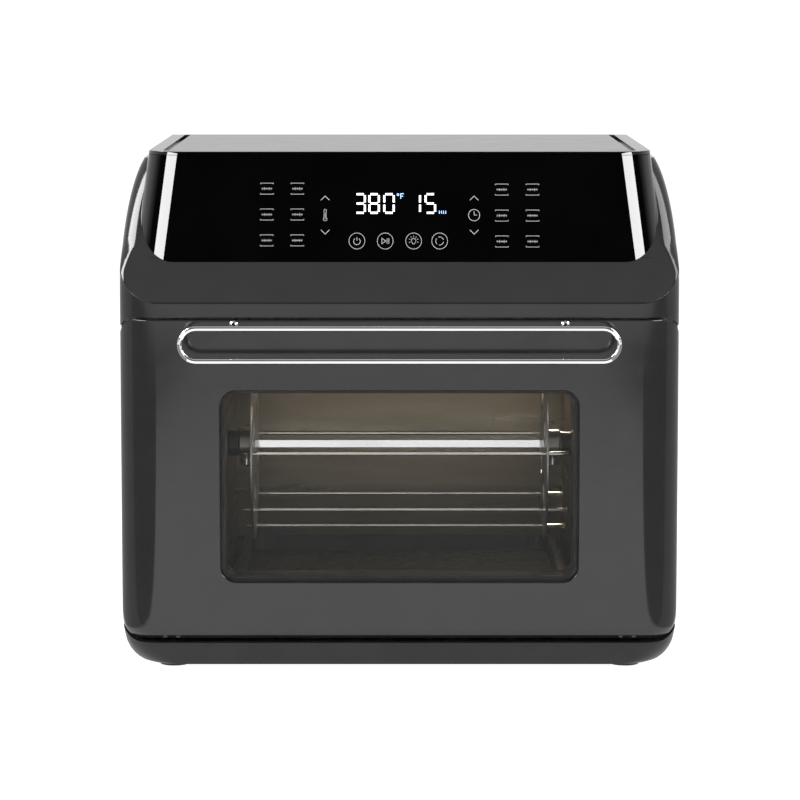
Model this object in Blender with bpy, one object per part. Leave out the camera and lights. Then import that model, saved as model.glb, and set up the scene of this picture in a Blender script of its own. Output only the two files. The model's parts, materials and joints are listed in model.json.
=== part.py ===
"""Countertop rotisserie oven, in metres, +Z up, with its front facing -Y.

The origin is under the middle of the bounding box, on the surface that the feet stand on. Depths are
counted back from the outside face of the closed door. Pieces that move hang from an empty on their axis.
"""

import math

import bmesh
import bpy
from mathutils import Matrix, Vector

# Overall sizes
WIDTH = 0.368
HEIGHT = 0.341
BODY_DEPTH = 0.322
HANDLE_REACH = 0.033
CLEARANCE = 0.0003

# Body outline
WALL = 0.0025
FOOT_HEIGHT = 0.005
FOOT_RADIUS = 0.011
FOOT_INSET = 0.034
PLINTH_HEIGHT = 0.0147
PLINTH_FLOOR = 0.003
BODY_CORNER_RADIUS = 0.025
REAR_CORNER_RADIUS = 0.002
REAR_COVER_INSET = 0.0012
LOWER_TAPER = 0.013
LOWER_TAPER_HEIGHT = 0.035
SHOULDER_DROP = 0.020
SHOULDER_HEIGHT = 0.074
SHOULDER_STOP = 0.0064
COLLAR_SLOPE = 0.94
COLLAR_HEIGHT = 0.0247
CREASE_HEIGHT = 0.0097
COLLAR_EDGE_ROUND = 0.0006
COLLAR_EDGE_MOST = 0.016
COLLAR_EDGE_GROWTH = 12.5
HEAD_SIDE_SLOPE = 0.123
HEAD_TOP_INSET = 0.0172
PANEL_LEAN = 0.22
PANEL_CORNER_RADIUS = 0.027
PANEL_THICKNESS = 0.003
PANEL_TOP_LIP = 0.0022
REAR_COVER_THICKNESS = 0.003

# Top plate
TOP_PLATE_WIDTH = 0.307
TOP_PLATE_THICKNESS = 0.0027
TOP_GROOVE = 0.0037
TOP_FRONT_RIM = 0.0035
TOP_PLATE_RADIUS = 0.018

# Door
DOOR_GAP = 0.0014
DOOR_BASE_GAP = 0.002
DOOR_HEIGHT = 0.2115
DOOR_RETURN = 0.009
DOOR_LOWER_ROUND = 0.015
DOOR_UPPER_ROUND = 0.012
DOOR_REAR_TOP_ROUND = 0.008
HINGE_ROUND = 0.007
WINDOW_WIDTH = 0.235
WINDOW_HEIGHT = 0.127
WINDOW_ABOVE_DOOR_BASE = 0.0383
WINDOW_RADIUS = 0.0105
BEZEL_STEP = 0.003
GLASS_THICKNESS = 0.003
GLASS_LAP = 0.007
INNER_PANEL_THICKNESS = 0.0012
SEAL_THICKNESS = 0.0013
SEAL_WIDTH = 0.006
SEAL_MARGIN = 0.002

# Door handle and hinges
HANDLE_LENGTH = 0.2866
HANDLE_HEIGHT = 0.0246
HANDLE_TUBE_RADIUS = 0.0017
HANDLE_BELOW_DOOR_TOP = 0.0134
POST_SPACING = 0.216
POST_RADIUS = 0.0018
HINGE_SPACING = 0.300
HINGE_PIN_RADIUS = 0.0025
HINGE_TAB_THICKNESS = 0.003
HINGE_TAB_RADIUS = 0.0041
HINGE_ARM_HALF_HEIGHT = 0.0022
HINGE_SLOT_CLEARANCE = 0.0015
HINGE_LUG_THICKNESS = 0.0025
HINGE_LUG_RADIUS = 0.0062
HINGE_FOOT = 0.010
HINGE_FOOT_THICKNESS = 0.0015

# Oven cavity
CAVITY_WIDTH = 0.238
CAVITY_HEIGHT = 0.186
CAVITY_DEPTH = 0.250
CAVITY_FLOOR = 0.038
LINER_WALL = 0.0012
FRAME_THICKNESS = 0.0015
WELL_SIZE = 0.200
WELL_HEIGHT = 0.039
TRAY_HEIGHT = 0.012
TRAY_MARGIN = 0.006
TRAY_WALL = 0.001

# Rotisserie
SPIT_DEPTH = 0.155
SPIT_HEIGHT = 0.133
SPIT_HALF_SIDE = 0.003
WHEEL_RADIUS = 0.066
WHEEL_THICKNESS = 0.0015
WHEEL_TO_WALL = 0.019
HUB_RADIUS = 0.0095
HUB_LENGTH = 0.010
SKEWER_COUNT = 8
SKEWER_CIRCLE = 0.058
SKEWER_RADIUS = 0.0013
SKEWER_HOLE_CLEARANCE = 0.0004
WHEEL_WINDOW_RADIUS = 0.013
WHEEL_WINDOW_CIRCLE = 0.034
SCREW_RADIUS = 0.0018
SCREW_HEAD_RADIUS = 0.0045
SCREW_HEAD_HEIGHT = 0.006
SOCKET_RADIUS = 0.008
SOCKET_LENGTH = 0.0155
BEARING_RADIUS = 0.009
BEARING_LENGTH = 0.0065
GEAR_MOTOR_SIZE = (0.038, 0.050, 0.054)

# Hot-air group
FAN_RADIUS = 0.055
FAN_HEIGHT = 0.012
FAN_BLADES = 8
COOLING_FAN_RADIUS = 0.045
COOLING_FAN_HEIGHT = 0.009
BLADE_THICKNESS = 0.0012
FAN_SHAFT_RADIUS = 0.003
MOTOR_RADIUS = 0.028
MOTOR_HEIGHT = 0.030
ELEMENT_TUBE_RADIUS = 0.0033
ELEMENT_INNER_RADIUS = 0.062
ELEMENT_OUTER_RADIUS = 0.085
ELEMENT_TURNS = 2.75
ELEMENT_ABOVE_CEILING = 0.010
GUARD_THICKNESS = 0.0012
GUARD_LAP = 0.003
GUARD_SLOTS = 9

# Small pieces
LENS_RADIUS = 0.014
LENS_THICKNESS = 0.003
LAMP_RADIUS = 0.010
LAMP_LENGTH = 0.026
SENSOR_RADIUS = 0.002
SENSOR_LENGTH = 0.028
BOARD_THICKNESS = 0.0016
DISPLAY_WIDTH = 0.076
DISPLAY_HEIGHT = 0.026
BOARD_OPENING = (0.210, 0.046)
PLUNGER_RADIUS = 0.002
PLUNGER_LENGTH = 0.011
PLUNGER_TRAVEL = 0.0025
SWITCH_SIZE = (0.012, 0.018, 0.014)
GLAND_RADIUS = 0.0057
GLAND_BORE = 0.0035
GLAND_LENGTH = 0.0095
VENT_SLOTS = 7
VENT_SLOT_SIZE = (0.060, 0.004)
VENT_PITCH = 0.011

CORNER_STEPS = 6
COLLAR_STEPS = 9
ROUND_STEPS = 20

# Places worked out from the sizes above
HALF_WIDTH = WIDTH / 2
DOOR_WRAP = BODY_CORNER_RADIUS + DOOR_RETURN
WHEEL_INNER = CAVITY_WIDTH / 2 - WHEEL_TO_WALL
FACE = HANDLE_REACH - (BODY_DEPTH + HANDLE_REACH) / 2
BACK = FACE + BODY_DEPTH
PLINTH_TOP = FOOT_HEIGHT + PLINTH_HEIGHT
DOOR_BOTTOM = PLINTH_TOP + DOOR_BASE_GAP
DOOR_TOP = DOOR_BOTTOM + DOOR_HEIGHT
HEAD_BOTTOM = DOOR_TOP + DOOR_GAP
CREASE = HEAD_BOTTOM + CREASE_HEIGHT
PANEL_FOOT = CREASE + COLLAR_HEIGHT
HEAD_TOP_HALF_WIDTH = HALF_WIDTH - HEAD_TOP_INSET
SHELL_BOTTOM = PLINTH_TOP + CLEARANCE
SHELL_BACK = BACK - REAR_COVER_THICKNESS - CLEARANCE
BODY_STOP = HEIGHT - SHOULDER_STOP
PANEL_INSET = PANEL_THICKNESS + CLEARANCE
HINGE_Y = FACE + HINGE_ROUND
HINGE_Z = DOOR_BOTTOM + HINGE_ROUND
WRAP_RADIUS = DOOR_WRAP - HINGE_ROUND
WINDOW_LOW = DOOR_BOTTOM + WINDOW_ABOVE_DOOR_BASE
FRAME_FRONT = FACE + DOOR_WRAP + 2 * CLEARANCE
INNER_PANEL_BACK = FRAME_FRONT - SEAL_THICKNESS - 2 * CLEARANCE
INNER_PANEL_FRONT = INNER_PANEL_BACK - INNER_PANEL_THICKNESS
INNER_GLASS_BACK = INNER_PANEL_FRONT - CLEARANCE
LINER_FRONT = FRAME_FRONT + FRAME_THICKNESS + CLEARANCE
CAVITY_BACK = LINER_FRONT + CAVITY_DEPTH
CAVITY_HALF = CAVITY_WIDTH / 2
CAVITY_CEILING = CAVITY_FLOOR + CAVITY_HEIGHT
FAN_Y = LINER_FRONT + CAVITY_DEPTH / 2
WELL_TOP = CAVITY_CEILING + WELL_HEIGHT
SPIT_Y = FACE + SPIT_DEPTH
SOCKET_START = CAVITY_HALF - 0.0065
WHEEL_OUTER = WHEEL_INNER + WHEEL_THICKNESS
POST_Z = DOOR_TOP - HANDLE_BELOW_DOOR_TOP + HANDLE_HEIGHT / 2 - HANDLE_TUBE_RADIUS
RING_Y = FACE - HANDLE_REACH + HANDLE_TUBE_RADIUS
RING_Z = DOOR_TOP - HANDLE_BELOW_DOOR_TOP
ROOF = WELL_TOP + LINER_WALL
COOLING_FAN_LOW = ROOF + 0.005
MOTOR_LOW = COOLING_FAN_LOW + COOLING_FAN_HEIGHT + 0.003
LAMP_Y = CAVITY_BACK - 0.040
LAMP_Z = CAVITY_CEILING - 0.034
SWITCH_X = CAVITY_HALF + 0.030
SWITCH_Z = CAVITY_CEILING - 0.010


def clear_scene():
    for obj in list(bpy.data.objects):
        bpy.data.objects.remove(obj, do_unlink=True)


def make_material(name, colour, roughness, metallic=0.0, transmission=0.0):
    made = bpy.data.materials.new(name)
    made.use_nodes = True
    shader = made.node_tree.nodes["Principled BSDF"]
    shader.inputs["Base Color"].default_value = (*colour, 1.0)
    shader.inputs["Roughness"].default_value = roughness
    shader.inputs["Metallic"].default_value = metallic
    shader.inputs["Transmission Weight"].default_value = transmission
    return made


def make_materials():
    return {
        "gloss_charcoal": make_material("gloss_charcoal", (0.060, 0.058, 0.059), 0.18),
        "charcoal_plastic": make_material("charcoal_plastic", (0.045, 0.044, 0.045), 0.35),
        "panel_black": make_material("panel_black", (0.004, 0.004, 0.004), 0.06),
        "top_plate": make_material("top_plate", (0.09, 0.09, 0.09), 0.16),
        "chrome": make_material("chrome", (0.82, 0.82, 0.82), 0.08, 1.0),
        "steel": make_material("steel", (0.47, 0.44, 0.40), 0.34, 1.0),
        "zinc_steel": make_material("zinc_steel", (0.50, 0.51, 0.52), 0.40, 1.0),
        "dark_steel": make_material("dark_steel", (0.10, 0.10, 0.10), 0.45, 0.9),
        "nonstick": make_material("nonstick", (0.025, 0.025, 0.027), 0.40, 0.3),
        "aluminium": make_material("aluminium", (0.70, 0.70, 0.70), 0.35, 1.0),
        "glass": make_material("glass", (0.90, 0.93, 0.92), 0.02, 0.0, 1.0),
        "black_plastic": make_material("black_plastic", (0.020, 0.020, 0.020), 0.45),
        "rubber": make_material("rubber", (0.018, 0.018, 0.018), 0.80),
        "silicone": make_material("silicone", (0.060, 0.058, 0.056), 0.70),
        "board_green": make_material("board_green", (0.020, 0.110, 0.045), 0.50),
        "display_black": make_material("display_black", (0.006, 0.006, 0.007), 0.20),
        "motor_grey": make_material("motor_grey", (0.30, 0.30, 0.31), 0.45, 0.8),
    }


def body_half_width(z):
    """Half width of the body: a quarter ellipse pulls it in at the foot and again at the shoulder."""
    low = FOOT_HEIGHT + LOWER_TAPER_HEIGHT
    high = HEIGHT - SHOULDER_HEIGHT
    if z < low:
        share = min(1.0, (low - z) / LOWER_TAPER_HEIGHT)
        return HALF_WIDTH - LOWER_TAPER * (1 - math.sqrt(1 - share * share))
    if z > high:
        share = min(1.0, (z - high) / SHOULDER_HEIGHT)
        return HALF_WIDTH - SHOULDER_DROP * (1 - math.sqrt(1 - share * share))
    return HALF_WIDTH


def body_front(z):
    return FACE + COLLAR_SLOPE * max(0.0, z - CREASE)


def collar_corner(z, grow):
    """The body's right front corner in plan, from its front to its side.

    The upright corner is cut by the collar's slope, and the edge between the two opens out as it rises.
    """
    large = BODY_CORNER_RADIUS + grow
    rounding = COLLAR_EDGE_ROUND + COLLAR_EDGE_GROWTH * max(0.0, z - CREASE) ** 2
    small = max(0.0003, min(COLLAR_EDGE_MOST, rounding) + grow)
    centre_x = body_half_width(z) + grow - large
    centre_y = FACE + BODY_CORNER_RADIUS
    front = body_front(z) - grow
    drop = centre_y - front - small
    reach = large - small
    shift = math.sqrt(max(0.0, reach * reach - max(0.0, drop) ** 2))
    meeting = 90.0 - math.degrees(math.asin(min(1.0, max(0.0, drop) / reach)))
    points = []
    for step in range(COLLAR_STEPS + 1):
        degrees = 90.0 * step / COLLAR_STEPS
        angle = math.radians(degrees)
        if degrees <= meeting:
            x = centre_x + shift + small * math.sin(angle)
            y = front + small - small * math.cos(angle)
        else:
            x = centre_x + large * math.sin(angle)
            y = centre_y - large * math.cos(angle)
        points.append((x, y))
    return points


def collar_ring(z, grow, back):
    """A closed plan outline of the body, counter-clockwise from above."""
    front = collar_corner(z, grow)
    half = body_half_width(z) + grow
    right = [Vector((x, y, z)) for x, y in front]
    left = [Vector((-x, y, z)) for x, y in reversed(front)]
    rear = plan_ring(z, half, FACE, back, 0.001)[: 2 * (CORNER_STEPS + 1)]
    return left + right + rear


def head_half_width(z):
    return HEAD_TOP_HALF_WIDTH + HEAD_SIDE_SLOPE * (HEIGHT - z)


def head_front(z):
    return body_front(PANEL_FOOT) + PANEL_LEAN * (z - PANEL_FOOT)


def plan_ring(z, half_width, front, back, front_radius, back_radius=REAR_CORNER_RADIUS):
    """A closed plan outline with rounded corners, counter-clockwise from above."""
    corners = [
        (half_width, back, back_radius, 0.0),
        (-half_width, back, back_radius, 90.0),
        (-half_width, front, front_radius, 180.0),
        (half_width, front, front_radius, 270.0),
    ]
    points = []
    for x, y, radius, start in corners:
        centre_x = x - math.copysign(radius, x)
        centre_y = y - radius if y == back else y + radius
        for step in range(CORNER_STEPS + 1):
            angle = math.radians(start + 90.0 * step / CORNER_STEPS)
            points.append(
                Vector((centre_x + radius * math.cos(angle), centre_y + radius * math.sin(angle), z))
            )
    return points


def loft(rings):
    """A closed solid through rings of equal point counts, listed from the bottom up."""
    solid = bmesh.new()
    rows = [[solid.verts.new(point) for point in ring] for ring in rings]
    for lower, upper in zip(rows, rows[1:]):
        for i in range(len(lower)):
            j = (i + 1) % len(lower)
            solid.faces.new((lower[i], lower[j], upper[j], upper[i]))
    solid.faces.new(list(reversed(rows[0])))
    solid.faces.new(rows[-1])
    bmesh.ops.recalc_face_normals(solid, faces=solid.faces)
    return solid


def block(x0, x1, y0, y1, z0, z1):
    corners = [(x0, y0), (x1, y0), (x1, y1), (x0, y1)]
    return loft([[Vector((x, y, z)) for x, y in corners] for z in (z0, z1)])


def rod(start, end, radius, end_radius=None, steps=ROUND_STEPS):
    """A cylinder or cone between two points."""
    start = Vector(start)
    along = Vector(end) - start
    turn = along.to_track_quat("Z", "Y").to_matrix().to_4x4()
    radii = (radius, radius if end_radius is None else end_radius)
    rings = []
    for height, size in zip((0.0, along.length), radii):
        ring = []
        for step in range(steps):
            angle = 2 * math.pi * step / steps
            ring.append(start + turn @ Vector((size * math.cos(angle), size * math.sin(angle), height)))
        rings.append(ring)
    return loft(rings)


def face_outline(half_width, low, high, radius):
    """A rounded rectangle in the X-Z plane, as (x, z) pairs."""
    middle = (low + high) / 2
    ring = plan_ring(0.0, half_width, low - middle, high - middle, radius, radius)
    return [(point.x, point.y + middle) for point in ring]


def prism(outline, y0, y1):
    """A solid that runs from y0 to y1 with an outline of (x, z) pairs."""
    return loft([[Vector((x, y, z)) for x, z in outline] for y in (y0, y1)])


def merge(solids):
    """Several separate solids in one mesh, for use as one cutter."""
    joined = bmesh.new()
    for solid in solids:
        held = bpy.data.meshes.new("held")
        solid.to_mesh(held)
        solid.free()
        joined.from_mesh(held)
        bpy.data.meshes.remove(held)
    return joined


def new_object(name, solid, material):
    mesh = bpy.data.meshes.new(name)
    solid.to_mesh(mesh)
    solid.free()
    obj = bpy.data.objects.new(name, mesh)
    bpy.context.scene.collection.objects.link(obj)
    if material:
        mesh.materials.append(material)
    return obj


def combine(obj, solid, operation):
    tool = new_object("tool", solid, None)
    modifier = obj.modifiers.new("shape", "BOOLEAN")
    modifier.operation = operation
    modifier.object = tool
    graph = bpy.context.evaluated_depsgraph_get()
    shaped = bpy.data.meshes.new_from_object(obj.evaluated_get(graph))
    obj.modifiers.clear()
    old = obj.data
    name = old.name
    obj.data = shaped
    bpy.data.meshes.remove(old)
    shaped.name = name
    bpy.data.objects.remove(tool, do_unlink=True)


def carve(obj, *solids):
    for solid in solids:
        combine(obj, solid, "DIFFERENCE")
    return obj


def fuse(obj, *solids):
    for solid in solids:
        combine(obj, solid, "UNION")
    return obj


def finish(obj, sharp_degrees=35.0):
    obj.data.shade_smooth()
    obj.data.set_sharp_from_angle(angle=math.radians(sharp_degrees))
    return obj


def make_pivot(name, location, parent=None):
    pivot = bpy.data.objects.new(name, None)
    pivot.empty_display_size = 0.02
    bpy.context.scene.collection.objects.link(pivot)
    hang(pivot, parent)
    pivot.location = Vector(location) - origin_of(parent)
    return pivot


def origin_of(obj):
    place = Vector((0.0, 0.0, 0.0))
    while obj:
        place += obj.location
        obj = obj.parent
    return place


def hang(obj, parent):
    """Parents an object that was modelled in world space, without moving it."""
    if parent is None:
        return obj
    obj.parent = parent
    if obj.type == "MESH":
        obj.data.transform(Matrix.Translation(-origin_of(parent)))
    return obj


# Base and shell


def build_base_plinth(mats):
    heights = [FOOT_HEIGHT + PLINTH_HEIGHT * share for share in (0.0, 0.1, 0.25, 0.55, 1.0)]
    rings = []
    for z in heights:
        tuck = 0.003 * (1 - (z - FOOT_HEIGHT) / PLINTH_HEIGHT) ** 2
        rings.append(plan_ring(z, body_half_width(z) - tuck, FACE + tuck, BACK, BODY_CORNER_RADIUS))
    plinth = new_object("base_plinth", loft(rings), mats["charcoal_plastic"])
    pan_half = body_half_width(FOOT_HEIGHT) - 2 * WALL
    pan = block(-pan_half, pan_half, FRAME_FRONT + WALL, BACK - 2 * WALL, FOOT_HEIGHT + PLINTH_FLOOR, HEIGHT)
    return [finish(carve(plinth, pan))]


def build_feet(mats):
    feet = []
    for side, x in (("left", -1), ("right", 1)):
        for end, y in (("front", FACE + FOOT_INSET), ("rear", BACK - FOOT_INSET)):
            centre = x * (HALF_WIDTH - FOOT_INSET)
            top = FOOT_HEIGHT - CLEARANCE
            foot = rod((centre, y, 0.0), (centre, y, top), FOOT_RADIUS * 0.9, FOOT_RADIUS)
            feet.append(finish(new_object(f"foot_{end}_{side}", foot, mats["rubber"])))
    return feet


def body_heights(bottom, top):
    """Heights for a loft of the body, closer together where its outline curves."""
    low = FOOT_HEIGHT + LOWER_TAPER_HEIGHT
    high = HEIGHT - SHOULDER_HEIGHT
    curve = [high + SHOULDER_HEIGHT * math.sin(math.radians(a)) for a in (15, 28, 40, 50, 58, 64)]
    turn = [math.radians(90.0 * step / COLLAR_STEPS) for step in range(1, COLLAR_STEPS + 1)]
    cut = [CREASE + BODY_CORNER_RADIUS * (1 - math.cos(angle)) / COLLAR_SLOPE for angle in turn]
    foot = [low - LOWER_TAPER_HEIGHT * share for share in (0.6, 0.35)]
    inside = sorted(z for z in (*foot, low, CREASE, high, *curve, *cut) if bottom + 0.0004 < z < top - 0.0004)
    middle = [z for i, z in enumerate(inside) if i == 0 or z - inside[i - 1] > 0.0004]
    return [bottom, *middle, top]


def body_solid(bottom, top, grow=0.0, front=None, back=None):
    """The body's outer shape, grown or shrunk all round. A given front cuts it square at that depth."""
    rings = []
    rear = SHELL_BACK if back is None else back
    for z in body_heights(bottom, top):
        ring = collar_ring(z, grow, rear)
        if front is not None:
            for point in ring:
                point.y = max(point.y, front)
        rings.append(ring)
    return loft(rings)


def head_solid(bottom, top, inset=0.0, front_shift=0.0, back=None, radius=PANEL_CORNER_RADIUS):
    """The block that carries the control panel. It leans back and narrows towards the top."""
    rings = []
    for z in (bottom, top):
        rear = SHELL_BACK if back is None else head_front(z) + back
        face = head_front(z) + inset + front_shift
        rings.append(plan_ring(z, head_half_width(z) - inset, face, rear, radius - inset, 0.001))
    return loft(rings)


def build_main_housing(mats):
    beyond = BACK + 0.020
    wrap = PANEL_CORNER_RADIUS + 0.002
    lip = HEIGHT - PANEL_TOP_LIP
    shell = new_object("main_housing", body_solid(SHELL_BOTTOM, BODY_STOP), mats["gloss_charcoal"])
    head_low = PANEL_FOOT - 0.018
    fuse(shell, head_solid(head_low, HEIGHT - 0.0001, inset=PANEL_INSET))
    fuse(shell, head_solid(head_low, HEIGHT - 0.0001, front_shift=wrap + CLEARANCE, radius=0.001))
    fuse(shell, head_solid(lip, HEIGHT))
    doorway = face_outline(HALF_WIDTH + DOOR_GAP, -HEIGHT, HEAD_BOTTOM, DOOR_UPPER_ROUND + DOOR_GAP)
    carve(shell, prism(doorway, FACE - WALL, FACE + DOOR_WRAP + CLEARANCE))
    carve(shell, body_solid(FOOT_HEIGHT, BODY_STOP - WALL, -WALL, FACE + DOOR_WRAP, beyond))
    carve(shell, body_solid(HEAD_BOTTOM + WALL, PANEL_FOOT + 0.006, -WALL, None, FACE + 2 * DOOR_WRAP))
    ceiling = HEIGHT - TOP_PLATE_THICKNESS - CLEARANCE - WALL
    hollow = []
    for z in (head_low, ceiling):
        inset = PANEL_INSET + WALL
        face = head_front(z) + inset
        hollow.append(plan_ring(z, head_half_width(z) - inset, face, beyond, PANEL_CORNER_RADIUS - inset))
    carve(shell, loft(hollow))
    pocket_front = head_front(HEIGHT) + TOP_FRONT_RIM
    pocket_floor = HEIGHT - TOP_PLATE_THICKNESS - CLEARANCE
    carve(shell, plate_solid(TOP_GROOVE, pocket_front, SHELL_BACK - WALL, pocket_floor, HEIGHT + WALL))
    width, height = BOARD_OPENING
    middle = (PANEL_FOOT + lip) / 2
    opening = block(
        -width / 2, width / 2, FACE, head_front(HEIGHT) + 0.010, middle - height / 2, middle + height / 2
    )
    return [finish(carve(shell, opening))]


def plate_solid(grow, front, back, low, high):
    """The top plate's outline, made wider by the groove for the pocket that it lies in."""
    half = TOP_PLATE_WIDTH / 2 + grow
    radius = TOP_PLATE_RADIUS + grow
    return loft([plan_ring(z, half, front, back, radius, 0.003) for z in (low, high)])


def build_top_panel(mats):
    front = head_front(HEIGHT) + TOP_FRONT_RIM + CLEARANCE
    back = SHELL_BACK - WALL - 0.002
    plate = plate_solid(0.0, front, back, HEIGHT - TOP_PLATE_THICKNESS, HEIGHT)
    return [finish(new_object("top_panel", plate, mats["top_plate"]))]


def build_control_panel(mats):
    low = PANEL_FOOT - 0.016
    high = HEIGHT - PANEL_TOP_LIP - CLEARANCE
    reach = PANEL_CORNER_RADIUS + 0.002
    panel = new_object("control_panel", head_solid(low, high, back=reach), mats["panel_black"])
    carve(panel, head_solid(low - 0.01, HEIGHT, inset=PANEL_THICKNESS))
    carve(panel, body_solid(CREASE - 0.01, BODY_STOP + CLEARANCE, CLEARANCE, None, BACK))
    return [finish(panel)]


def leaning_slab(half_width, low, high, near, far):
    """A slab parallel to the control panel, between two depths behind its face."""
    rings = []
    for z in (low, high):
        y0 = head_front(z) + near
        y1 = head_front(z) + far
        rings.append(
            [
                Vector(p)
                for p in (
                    (-half_width, y0, z),
                    (half_width, y0, z),
                    (half_width, y1, z),
                    (-half_width, y1, z),
                )
            ]
        )
    return loft(rings)


def build_control_electronics(mats):
    middle = (PANEL_FOOT + HEIGHT - PANEL_TOP_LIP) / 2
    near = PANEL_INSET
    far = PANEL_INSET + WALL
    display = leaning_slab(
        DISPLAY_WIDTH / 2, middle - DISPLAY_HEIGHT / 2, middle + DISPLAY_HEIGHT / 2, near, far
    )
    board_half = BOARD_OPENING[0] / 2 + 0.008
    board_rise = BOARD_OPENING[1] / 2 + 0.005
    start = far + 2 * CLEARANCE
    board = leaning_slab(board_half, middle - board_rise, middle + board_rise, start, start + BOARD_THICKNESS)
    return [
        finish(new_object("display_module", display, mats["display_black"])),
        finish(new_object("control_board", board, mats["board_green"])),
    ]


def build_rear_cover(mats):
    inset = REAR_COVER_INSET
    heights = body_heights(SHELL_BOTTOM, BODY_STOP - inset)
    right = [(body_half_width(z) - inset, z) for z in heights]
    right += [(head_half_width(z) - inset, z) for z in (BODY_STOP - inset, HEIGHT - inset)]
    outline = right + [(-x, z) for x, z in reversed(right)]
    cover = new_object(
        "rear_cover", prism(outline, BACK - REAR_COVER_THICKNESS, BACK), mats["charcoal_plastic"]
    )
    long, tall = VENT_SLOT_SIZE
    slots = []
    for side in (-1, 1):
        for row in range(VENT_SLOTS):
            x = side * long * 0.75
            z = HEIGHT - 0.045 - row * VENT_PITCH
            slots.append(
                block(x - long / 2, x + long / 2, BACK - 0.01, BACK + 0.01, z - tall / 2, z + tall / 2)
            )
    x, z = gland_place()
    hole = rod((x, BACK - 0.01, z), (x, BACK + 0.01, z), GLAND_RADIUS + CLEARANCE)
    return [finish(carve(cover, merge(slots), hole))]


def gland_place():
    return -(HALF_WIDTH - 0.045), FOOT_HEIGHT + 0.050


def build_cord_inlet(mats):
    x, z = gland_place()
    inner_face = BACK - REAR_COVER_THICKNESS - CLEARANCE
    start = BACK - CLEARANCE - GLAND_LENGTH
    gland = new_object(
        "cord_inlet", rod((x, start, z), (x, BACK - CLEARANCE, z), GLAND_RADIUS), mats["black_plastic"]
    )
    fuse(gland, rod((x, inner_face - 0.002, z), (x, inner_face, z), GLAND_RADIUS + 0.003))
    return [finish(carve(gland, rod((x, start - 0.01, z), (x, BACK + 0.01, z), GLAND_BORE)))]


# Cavity


def build_oven_cavity(mats):
    wall = LINER_WALL
    half = CAVITY_HALF + wall
    well = WELL_SIZE / 2
    back = CAVITY_BACK
    top = CAVITY_CEILING + wall
    liner = new_object(
        "oven_cavity", block(-half, half, LINER_FRONT, back + wall, CAVITY_FLOOR - wall, top), mats["steel"]
    )
    outer = well + wall
    fuse(liner, block(-outer, outer, FAN_Y - outer, FAN_Y + outer, CAVITY_CEILING, WELL_TOP + wall))
    inside = block(
        -CAVITY_HALF, CAVITY_HALF, LINER_FRONT - wall, back, CAVITY_FLOOR, CAVITY_CEILING
    )
    carve(liner, inside, block(-well, well, FAN_Y - well, FAN_Y + well, CAVITY_CEILING - wall, WELL_TOP))
    through = CAVITY_HALF + 0.01
    inner = CAVITY_HALF - 0.01
    holes = [
        rod((inner, SPIT_Y, SPIT_HEIGHT), (through, SPIT_Y, SPIT_HEIGHT), SOCKET_RADIUS + 0.001),
        rod((inner, LAMP_Y, LAMP_Z), (through, LAMP_Y, LAMP_Z), LENS_RADIUS + CLEARANCE),
        rod((-through, LAMP_Y, LAMP_Z), (-inner, LAMP_Y, LAMP_Z), SENSOR_RADIUS + CLEARANCE),
        rod((0, FAN_Y, WELL_TOP - 0.01), (0, FAN_Y, WELL_TOP + 0.01), FAN_SHAFT_RADIUS + 0.001),
    ]
    return [finish(carve(liner, merge(holes)))]


def build_front_frame(mats):
    slack = WALL + CLEARANCE
    low = SHELL_BOTTOM
    high = HEAD_BOTTOM - CLEARANCE
    heights = [z for z in body_heights(low, high) if z < CREASE]
    right = [(body_half_width(z) - slack, z) for z in heights]
    outline = right + [(-x, z) for x, z in reversed(right)]
    back = FRAME_FRONT + FRAME_THICKNESS
    frame = new_object("cavity_front_frame", prism(outline, FRAME_FRONT, back), mats["zinc_steel"])
    opening = face_outline(CAVITY_HALF, CAVITY_FLOOR, CAVITY_CEILING, 0.004)
    carve(frame, prism(opening, FRAME_FRONT - 0.01, back + 0.01))
    hole = rod(
        (SWITCH_X, FRAME_FRONT - 0.01, SWITCH_Z), (SWITCH_X, back + 0.01, SWITCH_Z), PLUNGER_RADIUS + 0.0004
    )
    return [finish(carve(frame, hole))]


def build_door_seal(mats):
    back = FRAME_FRONT - CLEARANCE
    front = back - SEAL_THICKNESS
    low = CAVITY_FLOOR - SEAL_MARGIN
    high = CAVITY_CEILING + SEAL_MARGIN
    half = CAVITY_HALF + SEAL_MARGIN
    grow = SEAL_WIDTH
    seal = new_object(
        "door_seal",
        prism(face_outline(half + grow, low - grow, high + grow, 0.010), front, back),
        mats["silicone"],
    )
    return [finish(carve(seal, prism(face_outline(half, low, high, 0.006), front - 0.01, back + 0.01)))]


def build_drip_tray(mats):
    half = CAVITY_HALF - TRAY_MARGIN
    front = LINER_FRONT + TRAY_MARGIN
    back = CAVITY_BACK - TRAY_MARGIN
    low = CAVITY_FLOOR + CLEARANCE
    high = low + TRAY_HEIGHT
    radius = 0.012
    tray = new_object("drip_tray", loft([
        plan_ring(low, half - 0.004, front + 0.004, back - 0.004, radius, radius),
        plan_ring(high - TRAY_WALL, half - 0.003, front + 0.003, back - 0.003, radius, radius),
        plan_ring(high - TRAY_WALL, half, front, back, radius + 0.003, radius + 0.003),
        plan_ring(high, half, front, back, radius + 0.003, radius + 0.003),
    ]), mats["nonstick"])
    hollow = loft([
        plan_ring(low + TRAY_WALL, half - 0.005, front + 0.005, back - 0.005, radius, radius),
        plan_ring(high + 0.005, half - 0.004, front + 0.004, back - 0.004, radius, radius),
    ])
    return [finish(carve(tray, hollow))]


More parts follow.
